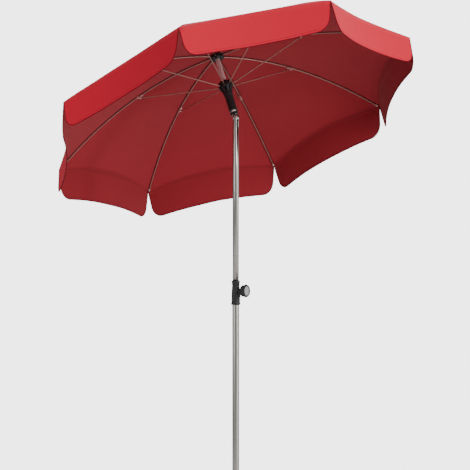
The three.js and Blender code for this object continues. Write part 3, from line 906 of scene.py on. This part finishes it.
class UMBRELLA_OT_canopy(bpy.types.Operator):
    """Makes the eight cloth panels with their valances and bindings"""
    bl_idname = "umbrella.canopy"
    bl_label = "Canopy cloth"

    def execute(self, context):
        sizes = context.scene.umbrella_canopy
        for k in SPOKES:
            tangent = spoke_frame(k).to_3x3() @ Vector((0, 1, 0))
            rows = grid_of(k)
            first = 0
            for name, end, gathered in STRIPS:
                last = len(rows) - 1 if end is None else max(
                    row for row in range(first + 1, DOME_ROWS)
                    if along_rib(rows, row) <= end * sizes.reach)
                strip, area = build_strip(k, name, rows, first, last)
                stand_for(strip, f"rib_{k}", f"canopy_panel_{k}")
                pieces = [strip]
                if end is None:
                    binding = build_binding(k)
                    stand_for(binding, f"rib_{k}")
                    pieces.append(binding)
                for piece in pieces:
                    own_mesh(piece)
                inner, outer = along_rib(rows, first), along_rib(rows, last)
                width = 2 * min(outer, sizes.reach) * math.tan(SECTOR / 2)
                1.03 * (outer - inner)
                first = last
        return {"FINISHED"}


# ---- ribs and stretchers -----------------------------------------------------

def pivot_height():
    """Height of the stretchers' outer pivots."""
    sizes = bpy.context.scene.umbrella_frame
    return rib_height(sizes.bracket_reach) - sizes.bracket_drop


def eye_plate(bm, height):
    """Flattened eye round the ring's wire."""
    radius, hole, half = 0.004, 0.002, 0.0018
    place = Matrix.Translation((RING_RADIUS, 0, height)) @ Matrix.Rotation(
        math.radians(90), 4, "X")
    revolve(bm, [(hole, -half), (radius, -half), (radius, half), (hole, half), (hole, -half)],
            24, 0.0003, place)


def build_rib(k):
    """Bowed rib tube with its eye and the two cheeks of the stretcher's bracket."""
    canopy = bpy.context.scene.umbrella_canopy
    sizes = bpy.context.scene.umbrella_frame
    bm = bmesh.new()
    start = RING_RADIUS + 0.003
    reaches = [start + (canopy.rib_end - start) * step / 40 for step in range(41)]
    sweep(bm, [Vector((reach, 0, rib_height(reach))) for reach in reaches], sizes.rib, 12)
    eye_plate(bm, 0.0)
    bar_faces = len(bm.faces)
    top = rib_height(sizes.bracket_reach)
    low = pivot_height()
    x = sizes.bracket_reach
    outline = [(x - 0.011, top + 0.001), (x - 0.005, low - 0.001)]
    outline += arc(x, low, 0.0045, 198, 342)
    outline += [(x + 0.011, top - 0.003)]
    for side in SIDES:
        cheek = Matrix.Translation((0, side * 0.00205, 0))
        slab(bm, outline, 0.0013, cheek)
        head = Matrix.Translation((x, side * 0.0027, low)) @ Matrix.Rotation(
            math.radians(-90 * side), 4, "X")
        cylinder(bm, 0.0022, 0, 0.0012, head, 20, 0.0004)
    clip = [(x - 0.013, top - 0.0030), (x - 0.013, top + 0.0026),
            (x + 0.013, top - 0.0006), (x + 0.013, top - 0.0062)]
    slab(bm, clip, 0.0062)
    bm.faces.ensure_lookup_table()
    for face in bm.faces[bar_faces:]:
        face.material_index = 1
    rib = object_from(bm, f"rib_bar_{k}", ["rib_steel", "bracket_steel"], spoke_frame(k))
    stand_for(rib, f"rib_{k}", f"rib_{k}")


def build_rib_tip(k):
    """Plastic cap on the rib's end."""
    canopy = bpy.context.scene.umbrella_canopy
    back, front = canopy.rib_end, canopy.rib_reach
    base = Vector((back, 0, rib_height(back)))
    ahead = Vector((front, 0, rib_height(front)))
    place = spoke_frame(k) @ facing(ahead - base, base, (0, 1, 0))
    profile = [(0, 0.0002), (0.0026, 0.0002), (0.0033, 0.0015), (0.0033, 0.0075),
               (0.0030, 0.0095), (0.0018, 0.0108), (0, 0.0110)]
    tip = turned(f"rib_end_{k}", profile, "tip_plastic", place, segments=24, rounding=0.0005)
    stand_for(tip, f"rib_{k}", f"rib_tip_{k}")


def build_stretcher(k):
    """Straight bar from the runner's ring to the bracket, flattened at its outer end."""
    sizes = bpy.context.scene.umbrella_frame
    slope = (pivot_height() - RING_HEIGHT) / (sizes.bracket_reach - RING_RADIUS)

    def at(reach):
        return Vector((reach, 0, RING_HEIGHT + slope * (reach - RING_RADIUS)))

    bm = bmesh.new()
    sweep(bm, [at(RING_RADIUS + 0.003), at(0.18), at(sizes.bracket_reach - 0.009)],
          sizes.stretcher, 12)
    eye_plate(bm, RING_HEIGHT)
    end = at(sizes.bracket_reach)
    start = at(sizes.bracket_reach - 0.018)
    outline = [(start.x, start.z - 0.0018)] + arc(end.x, end.z, 0.0029, -90, 90)
    outline += [(start.x, start.z + 0.0018)]
    slab(bm, outline, 0.0021)
    bar = object_from(bm, f"stretcher_bar_{k}", ["rib_steel"], spoke_frame(k))
    stand_for(bar, f"stretcher_{k}", f"stretcher_{k}")


class UMBRELLA_OT_ribs(bpy.types.Operator):
    """Makes the ribs with their brackets and caps"""
    bl_idname = "umbrella.ribs"
    bl_label = "Ribs"

    def execute(self, context):
        for k in SPOKES:
            build_rib(k)
            build_rib_tip(k)
        return {"FINISHED"}


class UMBRELLA_OT_stretchers(bpy.types.Operator):
    """Makes the stretchers between runner and ribs"""
    bl_idname = "umbrella.stretchers"
    bl_label = "Stretchers"

    def execute(self, context):
        for k in SPOKES:
            build_stretcher(k)
        return {"FINISHED"}


# ---- crown, runner and mast --------------------------------------------------

def slot_shapes(inner, outer, low, high):
    """Radial slots, one for each spoke."""
    bm = bmesh.new()
    outline = [(inner, low), (outer, low), (outer, high), (inner, high)]
    for k in range(len(SPOKES)):
        turn = Matrix.Rotation(SECTOR * k, 4, "Z")
        slab(bm, outline, bpy.context.scene.umbrella_frame.slot, turn)
    return bm


def build_crown():
    """Slotted crown with a groove for its ring of wire."""
    sizes = bpy.context.scene.umbrella_frame
    bore = sizes.mast + 0.0003
    groove, screw = 0.002, 0.0029
    low, top, floor = -sizes.crown_depth, 0.0022, -0.0025
    profile = [
        (screw, top), (RING_RADIUS - groove, top), (RING_RADIUS - groove, -groove),
        (RING_RADIUS + groove, -groove), (RING_RADIUS + groove, top),
        (sizes.hub - 0.0008, top), (sizes.hub, top - 0.0010), (sizes.hub, low + 0.003),
        (sizes.hub - 0.003, low), (bore, low), (bore, floor), (screw, floor), (screw, top)]
    crown = turned("crown_body", profile, "black_plastic", segments=96, rounding=0.0004)
    cut_from(crown, slot_shapes(0.0145, sizes.hub + 0.002, low - 0.001, top + 0.001))
    crown.data.transform(head_frame())
    stand_for(crown, "head", "crown_hub")


def build_crown_button():
    """Stepped cap that holds the cloth down on the crown."""
    seat = 0.0071
    profile = [(0, seat), (0.020, seat), (0.022, seat + 0.002), (0.0205, seat + 0.0045),
               (0.017, seat + 0.0062), (0.009, seat + 0.010), (0.0074, seat + 0.014),
               (0.0068, seat + 0.018), (0.004, seat + 0.0198), (0, seat + 0.020)]
    button = turned("crown_button", profile, "black_plastic", head_frame(), rounding=0.0015)
    stand_for(button, "head", "crown_cap")


class UMBRELLA_OT_crown(bpy.types.Operator):
    """Makes the slotted crown and the cap above the cloth"""
    bl_idname = "umbrella.crown"
    bl_label = "Crown"

    def execute(self, context):
        build_crown()
        build_crown_button()
        return {"FINISHED"}


class UMBRELLA_OT_runner(bpy.types.Operator):
    """Makes the runner: slotted hub, neck and long sleeve"""
    bl_idname = "umbrella.runner"
    bl_label = "Runner"

    def execute(self, context):
        sizes = context.scene.umbrella_frame
        ring = RING_HEIGHT
        top, neck, end = ring + 0.020, ring - 0.026, -sizes.sleeve_end
        bore = sizes.mast + 0.0005
        rim = sizes.sleeve + 0.0015
        profile = [
            (bore, top), (sizes.hub - 0.006, top), (sizes.hub - 0.004, top - 0.002),
            (sizes.hub, ring + 0.009), (sizes.hub, ring - 0.005),
            (sizes.sleeve + 0.003, neck), (rim, neck - 0.012), (rim, neck - 0.016),
            (sizes.sleeve, neck - 0.017), (sizes.sleeve, end + 0.006),
            (sizes.sleeve + 0.001, end + 0.004), (sizes.sleeve + 0.001, end), (bore, end),
            (bore, top)]
        runner = turned("runner_body", profile, "black_plastic", segments=96, rounding=0.0007)
        cut_from(runner, slot_shapes(0.014, sizes.hub + 0.002, neck - 0.0005, top + 0.001))
        runner.data.transform(head_frame())
        stand_for(runner, "runner", "runner")
        return {"FINISHED"}


class UMBRELLA_OT_mast(bpy.types.Operator):
    """Makes the mast's tube"""
    bl_idname = "umbrella.mast"
    bl_label = "Mast"

    def execute(self, context):
        sizes = context.scene.umbrella_frame
        low = SHOULDER_HEIGHT + 0.0003
        mast = turned("mast_pole", tube_profile(sizes.mast, 0.001, low, -0.003),
                      "mast_steel", head_frame(), rounding=0.0003)
        stand_for(mast, "head", "mast_tube")
        return {"FINISHED"}


def lean_frame():
    """Origin on the crown's pivots, X along the tilt pin, Z up the mast."""
    return upright(MAST_UP, Vector((1, 0, 0)), CROWN)


def build_knuckle():
    """Collar and tongue under the mast, with a spigot up the mast's bore."""
    shoulder, collar, spigot = SHOULDER_HEIGHT, 0.011, 0.0082
    bm = bmesh.new()
    revolve(bm, [(0, shoulder + 0.030), (spigot, shoulder + 0.030), (spigot, shoulder),
                 (collar, shoulder), (collar, shoulder - 0.010), (0, shoulder - 0.010)],
            64, 0.0012)
    outline = [(0.010, shoulder - 0.001), (-0.010, shoulder - 0.001)]
    outline += arc(0, PIN_HEIGHT, 0.010, 180, 360, 16)
    slab(bm, outline, 0.008, Matrix.Rotation(math.radians(90), 4, "Z"))
    knuckle = object_from(bm, "tilt_knuckle", ["bright_steel"], lean_frame())
    stand_for(knuckle, "head", "tilt_tongue")


def build_ferrule():
    """Plastic ring round the collar, below the runner's sleeve."""
    shoulder, over_mast = SHOULDER_HEIGHT, 0.0098
    profile = [
        (over_mast, shoulder + 0.0012), (0.0148, shoulder + 0.0012), (0.0156, shoulder),
        (0.0150, shoulder - 0.0098), (0.0112, shoulder - 0.0102), (0.0112, shoulder + 0.0002),
        (over_mast, shoulder + 0.0002), (over_mast, shoulder + 0.0012)]
    stand_for(turned("tilt_ferrule", profile, "black_plastic", lean_frame()), "head")


def build_tilt_pin():
    """Pin through the fork with a domed head at both ends."""
    pin, half = 0.003, 0.0148
    bm = bmesh.new()
    cylinder(bm, pin, -half, half, facing((1, 0, 0), TILT_PIN), 32)
    for side in SIDES:
        revolve(bm, [(0, 0.0128), (0.0055, 0.0128), (0.0055, 0.0138), (0.004, 0.0151),
                     (0, 0.0153)], 32, 0.0004, facing((side, 0, 0), TILT_PIN))
    stand_for(object_from(bm, "tilt_rivet", ["bright_steel"]), "tilt_joint", "tilt_pin")


class UMBRELLA_OT_tilt_joint(bpy.types.Operator):
    """Makes the collar and tongue under the mast, the ferrule and the pin with its heads"""
    bl_idname = "umbrella.tilt_joint"
    bl_label = "Tilt joint"

    def execute(self, context):
        build_knuckle()
        build_ferrule()
        build_tilt_pin()
        return {"FINISHED"}


# ---- poles -------------------------------------------------------------------

def build_fork(sizes):
    """Upper pole: a tube whose top is rounded about the pin and slotted through."""
    bm = bmesh.new()
    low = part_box("upper_pole")[0][2]
    half = math.asin(sizes.fork_slot / 2 / sizes.upper)
    gaps = {-math.pi / 2: sizes.slot_front, math.pi / 2: sizes.slot_back}
    turns = sorted(set(
        [round(2 * math.pi * step / 64 - math.pi, 6) for step in range(64)]
        + [round(middle + side * half, 6) for middle in gaps for side in (-1, 1)]))
    turns = [turn for turn in turns if all(
        abs(abs(turn - middle) - half) < 1e-5 or abs(abs(turn - middle) - half) > 0.03
        for middle in gaps)]
    columns = []
    for turn in turns:
        x, y = sizes.upper * math.cos(turn), sizes.upper * math.sin(turn)
        rounded = TILT_PIN.z + math.sqrt(max(0.0, (sizes.upper + 0.0006) ** 2 - y * y))
        heights = [low, TILT_PIN.z - 0.2, TILT_PIN.z - sizes.slot_front,
                   TILT_PIN.z - 0.025, TILT_PIN.z - sizes.slot_back, TILT_PIN.z - 0.004]
        heights += [heights[-1] + (rounded - heights[-1]) * step / 5 for step in range(1, 6)]
        columns.append([bm.verts.new((x, y, height)) for height in heights])
    for index, column in enumerate(columns):
        after = columns[(index + 1) % len(columns)]
        turn = turns[index]
        limit = len(column)
        for middle, rows in ((-math.pi / 2, 2), (math.pi / 2, 4)):
            if middle - half - 1e-4 < turn < middle + half - 1e-4:
                limit = rows
        for row in range(min(limit, len(column) - 1)):
            bm.faces.new((column[row], after[row], after[row + 1], column[row + 1]))
    bmesh.ops.delete(bm, geom=[v for v in bm.verts if not v.link_faces], context="VERTS")
    pole = object_from(bm, "upper_tube", ["satin_pole"], crease=50)
    shell = pole.modifiers.new("wall", "SOLIDIFY")
    shell.thickness = sizes.wall + 0.0002
    shell.offset = -1
    settle(pole)
    return pole


def build_lower_pole():
    """Plain tube between the base and the height clamp."""
    sizes = bpy.context.scene.umbrella_poles
    low, high = (corner[2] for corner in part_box("lower_pole"))
    lower = turned("lower_tube", tube_profile(sizes.lower, sizes.wall, low, high),
                   "satin_pole", rounding=0.0003)
    stand_for(lower, "lower_mast", "lower_pole")


def build_crimp():
    """Dimple in the lower pole just under the clamp's collar."""
    wall = bpy.context.scene.umbrella_poles.lower
    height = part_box("clamp_collar")[0][2] - 0.016
    bm = bmesh.new()
    revolve(bm, [(0, wall - 0.0012), (0.0012, wall - 0.0010), (0.0021, wall + 0.0002),
                 (0.0030, wall - 0.0001), (0.0030, wall - 0.002), (0, wall - 0.002)],
            24, 0.0002, facing((-0.45, -0.893, 0), Vector((0, 0, height))))
    stand_for(object_from(bm, "lower_tube_crimp", ["satin_pole"]), "lower_mast")


class UMBRELLA_OT_poles(bpy.types.Operator):
    """Makes the forked upper pole and the lower pole"""
    bl_idname = "umbrella.poles"
    bl_label = "Poles"

    def execute(self, context):
        stand_for(build_fork(context.scene.umbrella_poles), "upper_mast", "upper_pole")
        build_lower_pole()
        build_crimp()
        return {"FINISHED"}


# ---- height clamp ------------------------------------------------------------

def fluted_ring(bm, radius, lobes, low, high, dish, face, place):
    """Knob rim with lobes, a rounded outer edge and a dished front."""
    count = lobes * 10
    scallop = 0.0011
    rings = []
    for inset, height in ((0.0016, low), (0.0004, low + 0.0008), (0, low + 0.0025),
                          (0, high - 0.004), (0.0008, high - 0.0016), (0.0024, high)):
        ring = []
        for step in range(count):
            turn = 2 * math.pi * step / count
            edge = radius - inset - scallop + scallop * math.cos(lobes * turn)
            ring.append(bm.verts.new((edge * math.cos(turn), edge * math.sin(turn), height)))
        rings.append(ring)
    for inner, height in ((face, high), (face - 0.0003, high - dish)):
        rings.append([
            bm.verts.new((inner * math.cos(2 * math.pi * step / count),
                          inner * math.sin(2 * math.pi * step / count), height))
            for step in range(count)])
    for lower, upper in zip(rings, rings[1:]):
        for step in range(count):
            after = (step + 1) % count
            bm.faces.new((lower[step], lower[after], upper[after], upper[step]))
    bm.faces.new(rings[-1])
    bm.faces.new(rings[0][::-1])
    bmesh.ops.transform(bm, matrix=place, verts=[v for ring in rings for v in ring])


def screw_frame(name):
    """Height of a clamp's screw, and a frame at the pole's middle with Z along the screw."""
    joint = JOINTS[name]
    height = Vector(joint["pos_m"]).z
    return height, facing(joint["axis"], Vector((0, 0, height)))


def build_collar():
    """Waisted collar over both poles with the screw's boss and a web under it."""
    poles = bpy.context.scene.umbrella_poles
    height, outward = screw_frame("height_clamp_turn")
    low, high = (corner[2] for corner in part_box("clamp_collar"))
    middle = (low + high) / 2
    neck, skirt, lip = poles.upper + 0.0025, poles.lower + 0.005, poles.upper + 0.0045
    inner_low, inner_high = poles.lower + 0.0003, poles.upper + 0.0005
    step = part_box("lower_pole")[1][2] + 0.008
    bm = bmesh.new()
    revolve(bm, [
        (inner_low, low), (skirt, low), (skirt, low + 0.006), (skirt - 0.0015, low + 0.008),
        (skirt - 0.002, middle), (neck + 0.001, middle + 0.012), (neck, high - 0.018),
        (neck + 0.001, high - 0.008), (lip, high - 0.006), (lip, high), (inner_high, high),
        (inner_high, step), (inner_low, step), (inner_low, low)], 96, 0.0012)
    stand_off = poles.lower + 0.0095
    revolve(bm, [(0, poles.upper + 0.002), (0.0098, poles.upper + 0.002),
                 (0.009, stand_off - 0.001), (0.0082, stand_off), (0, stand_off)],
            48, 0.0008, outward)
    axis = Vector(JOINTS["height_clamp_turn"]["axis"])
    up = Vector((0, 0, 1))
    web = Matrix((axis, up.cross(axis), up)).transposed().to_4x4()
    slab(bm, [(0.010, middle - 0.022), (skirt - 0.001, middle - 0.018),
              (skirt + 0.0005, height - 0.004), (0.010, height)], 0.013, web)
    collar = object_from(bm, "clamp_body", ["black_plastic"])
    stand_for(collar, "lower_mast", "clamp_collar")


def build_clamp_knob():
    """Fluted wheel with a pale grip face set back in its rim."""
    _, outward = screw_frame("height_clamp_turn")
    back = bpy.context.scene.umbrella_poles.lower + 0.017
    front = back + 0.023
    bm = bmesh.new()
    fluted_ring(bm, 0.026, 12, front - 0.011, front, 0.005, 0.0202, outward)
    revolve(bm, [(0, back - 0.004), (0.0117, back - 0.004), (0.0125, back),
                 (0.0205, back), (0.0225, back + 0.0015), (0.0238, front - 0.010),
                 (0, front - 0.010)], 96, 0.0012, outward)
    stand_for(object_from(bm, "clamp_wheel", ["black_plastic"]), "height_clamp", "clamp_knob")
    face = front - 0.0048
    profile = [(0, face), (0.0199, face), (0.0199, face + 0.0008), (0.0190, face + 0.0016),
               (0.015, face + 0.0021), (0.008, face + 0.0023), (0, face + 0.0024)]
    cap = turned("clamp_wheel_face", profile, "knob_face", outward, rounding=0.0006)
    stand_for(cap, "height_clamp", "clamp_knob_cap")


class UMBRELLA_OT_height_clamp(bpy.types.Operator):
    """Makes the clamp's collar with its boss, the fluted knob and the knob's face"""
    bl_idname = "umbrella.height_clamp"
    bl_label = "Height clamp"

    def execute(self, context):
        build_collar()
        build_clamp_knob()
        return {"FINISHED"}


# ---- base --------------------------------------------------------------------

def build_slab():
    """Stone slab, recessed below for its rubber pad."""
    radius, _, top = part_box("base_slab")[1]
    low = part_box("base_slab")[0][2]
    pad_radius, _, pad_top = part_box("base_pad")[1]
    recess, ceiling = pad_radius + 0.0003, pad_top + 0.0003
    stone = turned("slab_stone", [
        (0, ceiling), (recess, ceiling), (recess, low), (radius - 0.003, low),
        (radius, low + 0.003), (radius, top - 0.008), (radius - 0.0024, top - 0.0024),
        (radius - 0.008, top), (0, top)], "granite", segments=128, rounding=0.002)
    stand_for(stone, "base", "base_slab")
    pad = turned("slab_pad", [(0, 0), (pad_radius, 0), (pad_radius, pad_top), (0, pad_top)],
                 "rubber", segments=96, rounding=0.001)
    stand_for(pad, "base", "base_pad")


def socket_radii():
    """Outer and inner radius of the base's socket."""
    outer = bpy.context.scene.umbrella_poles.lower + 0.005
    return outer, outer - 0.002


def build_socket():
    """Flange and tube that hold the pole, with the boss of the clamp's screw."""
    outer, inner = socket_radii()
    wide, _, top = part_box("base_socket")[1]
    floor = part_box("base_slab")[1][2] + 0.0003
    bm = bmesh.new()
    revolve(bm, [(0, floor), (wide, floor), (wide, floor + 0.004),
                 (outer + 0.003, floor + 0.004), (outer, floor + 0.0075), (outer, top),
                 (inner, top), (inner, floor + 0.006), (0, floor + 0.006)], 96, 0.0008)
    _, outward = screw_frame("base_clamp_turn")
    hole, boss = 0.0043, 0.009
    revolve(bm, [(hole, outer - 0.001), (boss, outer - 0.001), (boss, outer + 0.005),
                 (hole, outer + 0.005), (hole, outer - 0.001)], 40, 0.0005, outward)
    stand_for(object_from(bm, "socket_tube", ["satin_pole"]), "base", "base_socket")


def build_liner():
    """Plastic sleeve between the socket and the pole, with a lip over the socket's edge."""
    outer, inner = socket_radii()
    low, top = (corner[2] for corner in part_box("base_liner"))
    lip = top - 0.005
    bore = bpy.context.scene.umbrella_poles.lower + 0.0005
    liner = turned("socket_sleeve", [
        (bore, low), (inner - 0.0005, low), (inner - 0.0005, lip), (outer + 0.0015, lip),
        (outer + 0.0015, top), (bore, top), (bore, low)], "black_plastic")
    stand_for(liner, "liner", "base_liner")


def build_base_knob():
    """Knob with six lobes on the base's clamp screw."""
    _, outward = screw_frame("base_clamp_turn")
    back = socket_radii()[0] + 0.014
    bm = bmesh.new()
    fluted_ring(bm, 0.021, 6, back, back + 0.013, 0.0015, 0.016, outward)
    revolve(bm, [(0, back - 0.004), (0.0094, back - 0.004), (0.0102, back + 0.001),
                 (0, back + 0.001)], 40, 0.0006, outward)
    stand_for(object_from(bm, "socket_wheel", ["black_plastic"]), "base_clamp", "base_knob")


class UMBRELLA_OT_base(bpy.types.Operator):
    """Makes the stone slab, its pad, the socket with its flange, the liner and the knob"""
    bl_idname = "umbrella.base"
    bl_label = "Base"

    def execute(self, context):
        build_slab()
        build_socket()
        build_liner()
        build_base_knob()
        return {"FINISHED"}


# ---- CAD pieces that stay ----------------------------------------------------

KEPT = {
    "bright_steel": ["base_bolt_1", "base_bolt_2", "base_bolt_3", "base_screw", "clamp_screw",
                     "tilt_spring", "crown_ring", "runner_ring"],
    "black_plastic": ["pole_plug", "pole_guide", "tilt_insert"],
    "knob_face": ["tilt_button"],
}


class UMBRELLA_OT_small_parts(bpy.types.Operator):
    """Gives the bolts, screws, rings, plugs and the tilt button their finishes"""
    bl_idname = "umbrella.small_parts"
    bl_label = "Small parts"

    def execute(self, context):
        for material, names in KEPT.items():
            for name in names:
                slots = frame["nodes"][name].data.materials
                slots.clear()
                slots.append(finish(material))
        return {"FINISHED"}


# ---- stage -------------------------------------------------------------------

def soft_light(name, place, aim, size, power):
    light = bpy.data.lights.new(name, "AREA")
    light.shape = "RECTANGLE"
    light.size, light.size_y = size
    light.energy = power
    lamp = bpy.data.objects.new(name, light)
    lamp.location = place
    lamp.rotation_euler = (Vector(aim) - Vector(place)).to_track_quat("-Z", "Y").to_euler()
    bpy.context.scene.collection.objects.link(lamp)


def light_world(sizes, right):
    """Even light that grows towards the right, with a brighter backdrop for the camera's rays."""
    dim_side, bright_side = 0.6, 1.9
    world = bpy.data.worlds.new("studio")
    bpy.context.scene.world = world
    world.use_nodes = True
    tree = world.node_tree

    def glow(strength):
        made = tree.nodes.new("ShaderNodeBackground")
        made.inputs["Color"].default_value = (1, 1, 1, 1)
        made.inputs["Strength"].default_value = strength
        return made.outputs[0]

    def either(factor, first, second):
        made = tree.nodes.new("ShaderNodeMixShader")
        for socket, source in zip(made.inputs, (factor, first, second)):
            tree.links.new(source, socket)
        return made.outputs[0]

    towards = tree.nodes.new("ShaderNodeVectorMath")
    towards.operation = "DOT_PRODUCT"
    tree.links.new(tree.nodes.new("ShaderNodeTexCoord").outputs["Generated"], towards.inputs[0])
    towards.inputs[1].default_value = right
    ramp = tree.nodes.new("ShaderNodeMapRange")
    ramp.interpolation_type = "SMOOTHSTEP"
    ramp.inputs["From Min"].default_value = -0.45
    ramp.inputs["From Max"].default_value = 0.75
    tree.links.new(towards.outputs["Value"], ramp.inputs["Value"])
    lit = either(ramp.outputs["Result"], glow(sizes.ambient * dim_side),
                 glow(sizes.ambient * bright_side))
    camera_ray = tree.nodes.new("ShaderNodeLightPath").outputs["Is Camera Ray"]
    shown = either(camera_ray, lit, glow(sizes.backdrop))
    tree.links.new(shown, tree.nodes["World Output"].inputs["Surface"])


class UMBRELLA_OT_stage(bpy.types.Operator):
    """Sets the pale floor, the soft lights and the camera"""
    bl_idname = "umbrella.stage"
    bl_label = "Stage"

    def execute(self, context):
        sizes = context.scene.umbrella_stage
        floor = turned("floor", [(0, -0.02), (sizes.floor, -0.02), (sizes.floor, -0.0005),
                                 (0, -0.0005)], "pale_floor", segments=128, rounding=0.01)
        ahead = Vector((math.sin(sizes.turn), math.cos(sizes.turn), 0))
        right = Vector((math.cos(sizes.turn), -math.sin(sizes.turn), 0))

        def spot(sideways, nearer, up):
            return right * sideways - ahead * nearer + Vector((0, 0, up))

        camera = bpy.data.cameras.new("camera")
        camera.sensor_width = 36
        camera.lens = sizes.lens
        eye = bpy.data.objects.new("camera", camera)
        eye.location = spot(-sizes.side, sizes.distance, sizes.height)
        eye.rotation_euler = (math.radians(90), 0, -sizes.turn)
        context.scene.collection.objects.link(eye)
        context.scene.camera = eye
        canopy = Vector((0, 0, 1.6))
        soft_light("key", spot(2.6, 3.2, 3.4), canopy, (2.2, 2.2), 112)
        soft_light("strip", spot(3.0, 1.2, 1.3), (0, 0, 1.3), (0.35, 2.6), 26)
        soft_light("fill", spot(-3.4, 2.4, 2.0), canopy, (2.4, 2.6), 48)
        soft_light("top", spot(0.2, -0.6, 4.6), canopy, (3.0, 3.0), 62)
        light_world(sizes, right)
        return {"FINISHED"}


# ---- panel and registration --------------------------------------------------

OPERATORS = (
    UMBRELLA_OT_ribs, UMBRELLA_OT_canopy, UMBRELLA_OT_stretchers, UMBRELLA_OT_crown,
    UMBRELLA_OT_runner, UMBRELLA_OT_mast, UMBRELLA_OT_tilt_joint, UMBRELLA_OT_poles,
    UMBRELLA_OT_height_clamp, UMBRELLA_OT_base, UMBRELLA_OT_small_parts, UMBRELLA_OT_stage,
)


class UMBRELLA_PT_panel(bpy.types.Panel):
    """Lists the umbrella's pieces and their sizes"""
    bl_idname = "UMBRELLA_PT_panel"
    bl_label = "Umbrella"
    bl_space_type = "VIEW_3D"
    bl_region_type = "UI"
    bl_category = "Umbrella"

    def draw(self, context):
        for operator in OPERATORS:
            self.layout.operator(operator.bl_idname)
        for name, group in PROPERTY_GROUPS.items():
            box = self.layout.box()
            box.label(text=group.__name__)
            for prop in group.__annotations__:
                box.prop(getattr(context.scene, name), prop)


def register():
    for group in PROPERTY_GROUPS.values():
        bpy.utils.register_class(group)
    for kind in (*OPERATORS, UMBRELLA_PT_panel):
        bpy.utils.register_class(kind)
    for name, group in PROPERTY_GROUPS.items():
        setattr(bpy.types.Scene, name, PointerProperty(type=group))


def unregister():
    for name in PROPERTY_GROUPS:
        delattr(bpy.types.Scene, name)
    for kind in (UMBRELLA_PT_panel, *reversed(OPERATORS), *PROPERTY_GROUPS.values()):
        bpy.utils.unregister_class(kind)


def main():
    register()
    for operator in OPERATORS:
        group, name = operator.bl_idname.split(".")
        getattr(getattr(bpy.ops, group), name)()


if __name__ == "__main__":
    main()
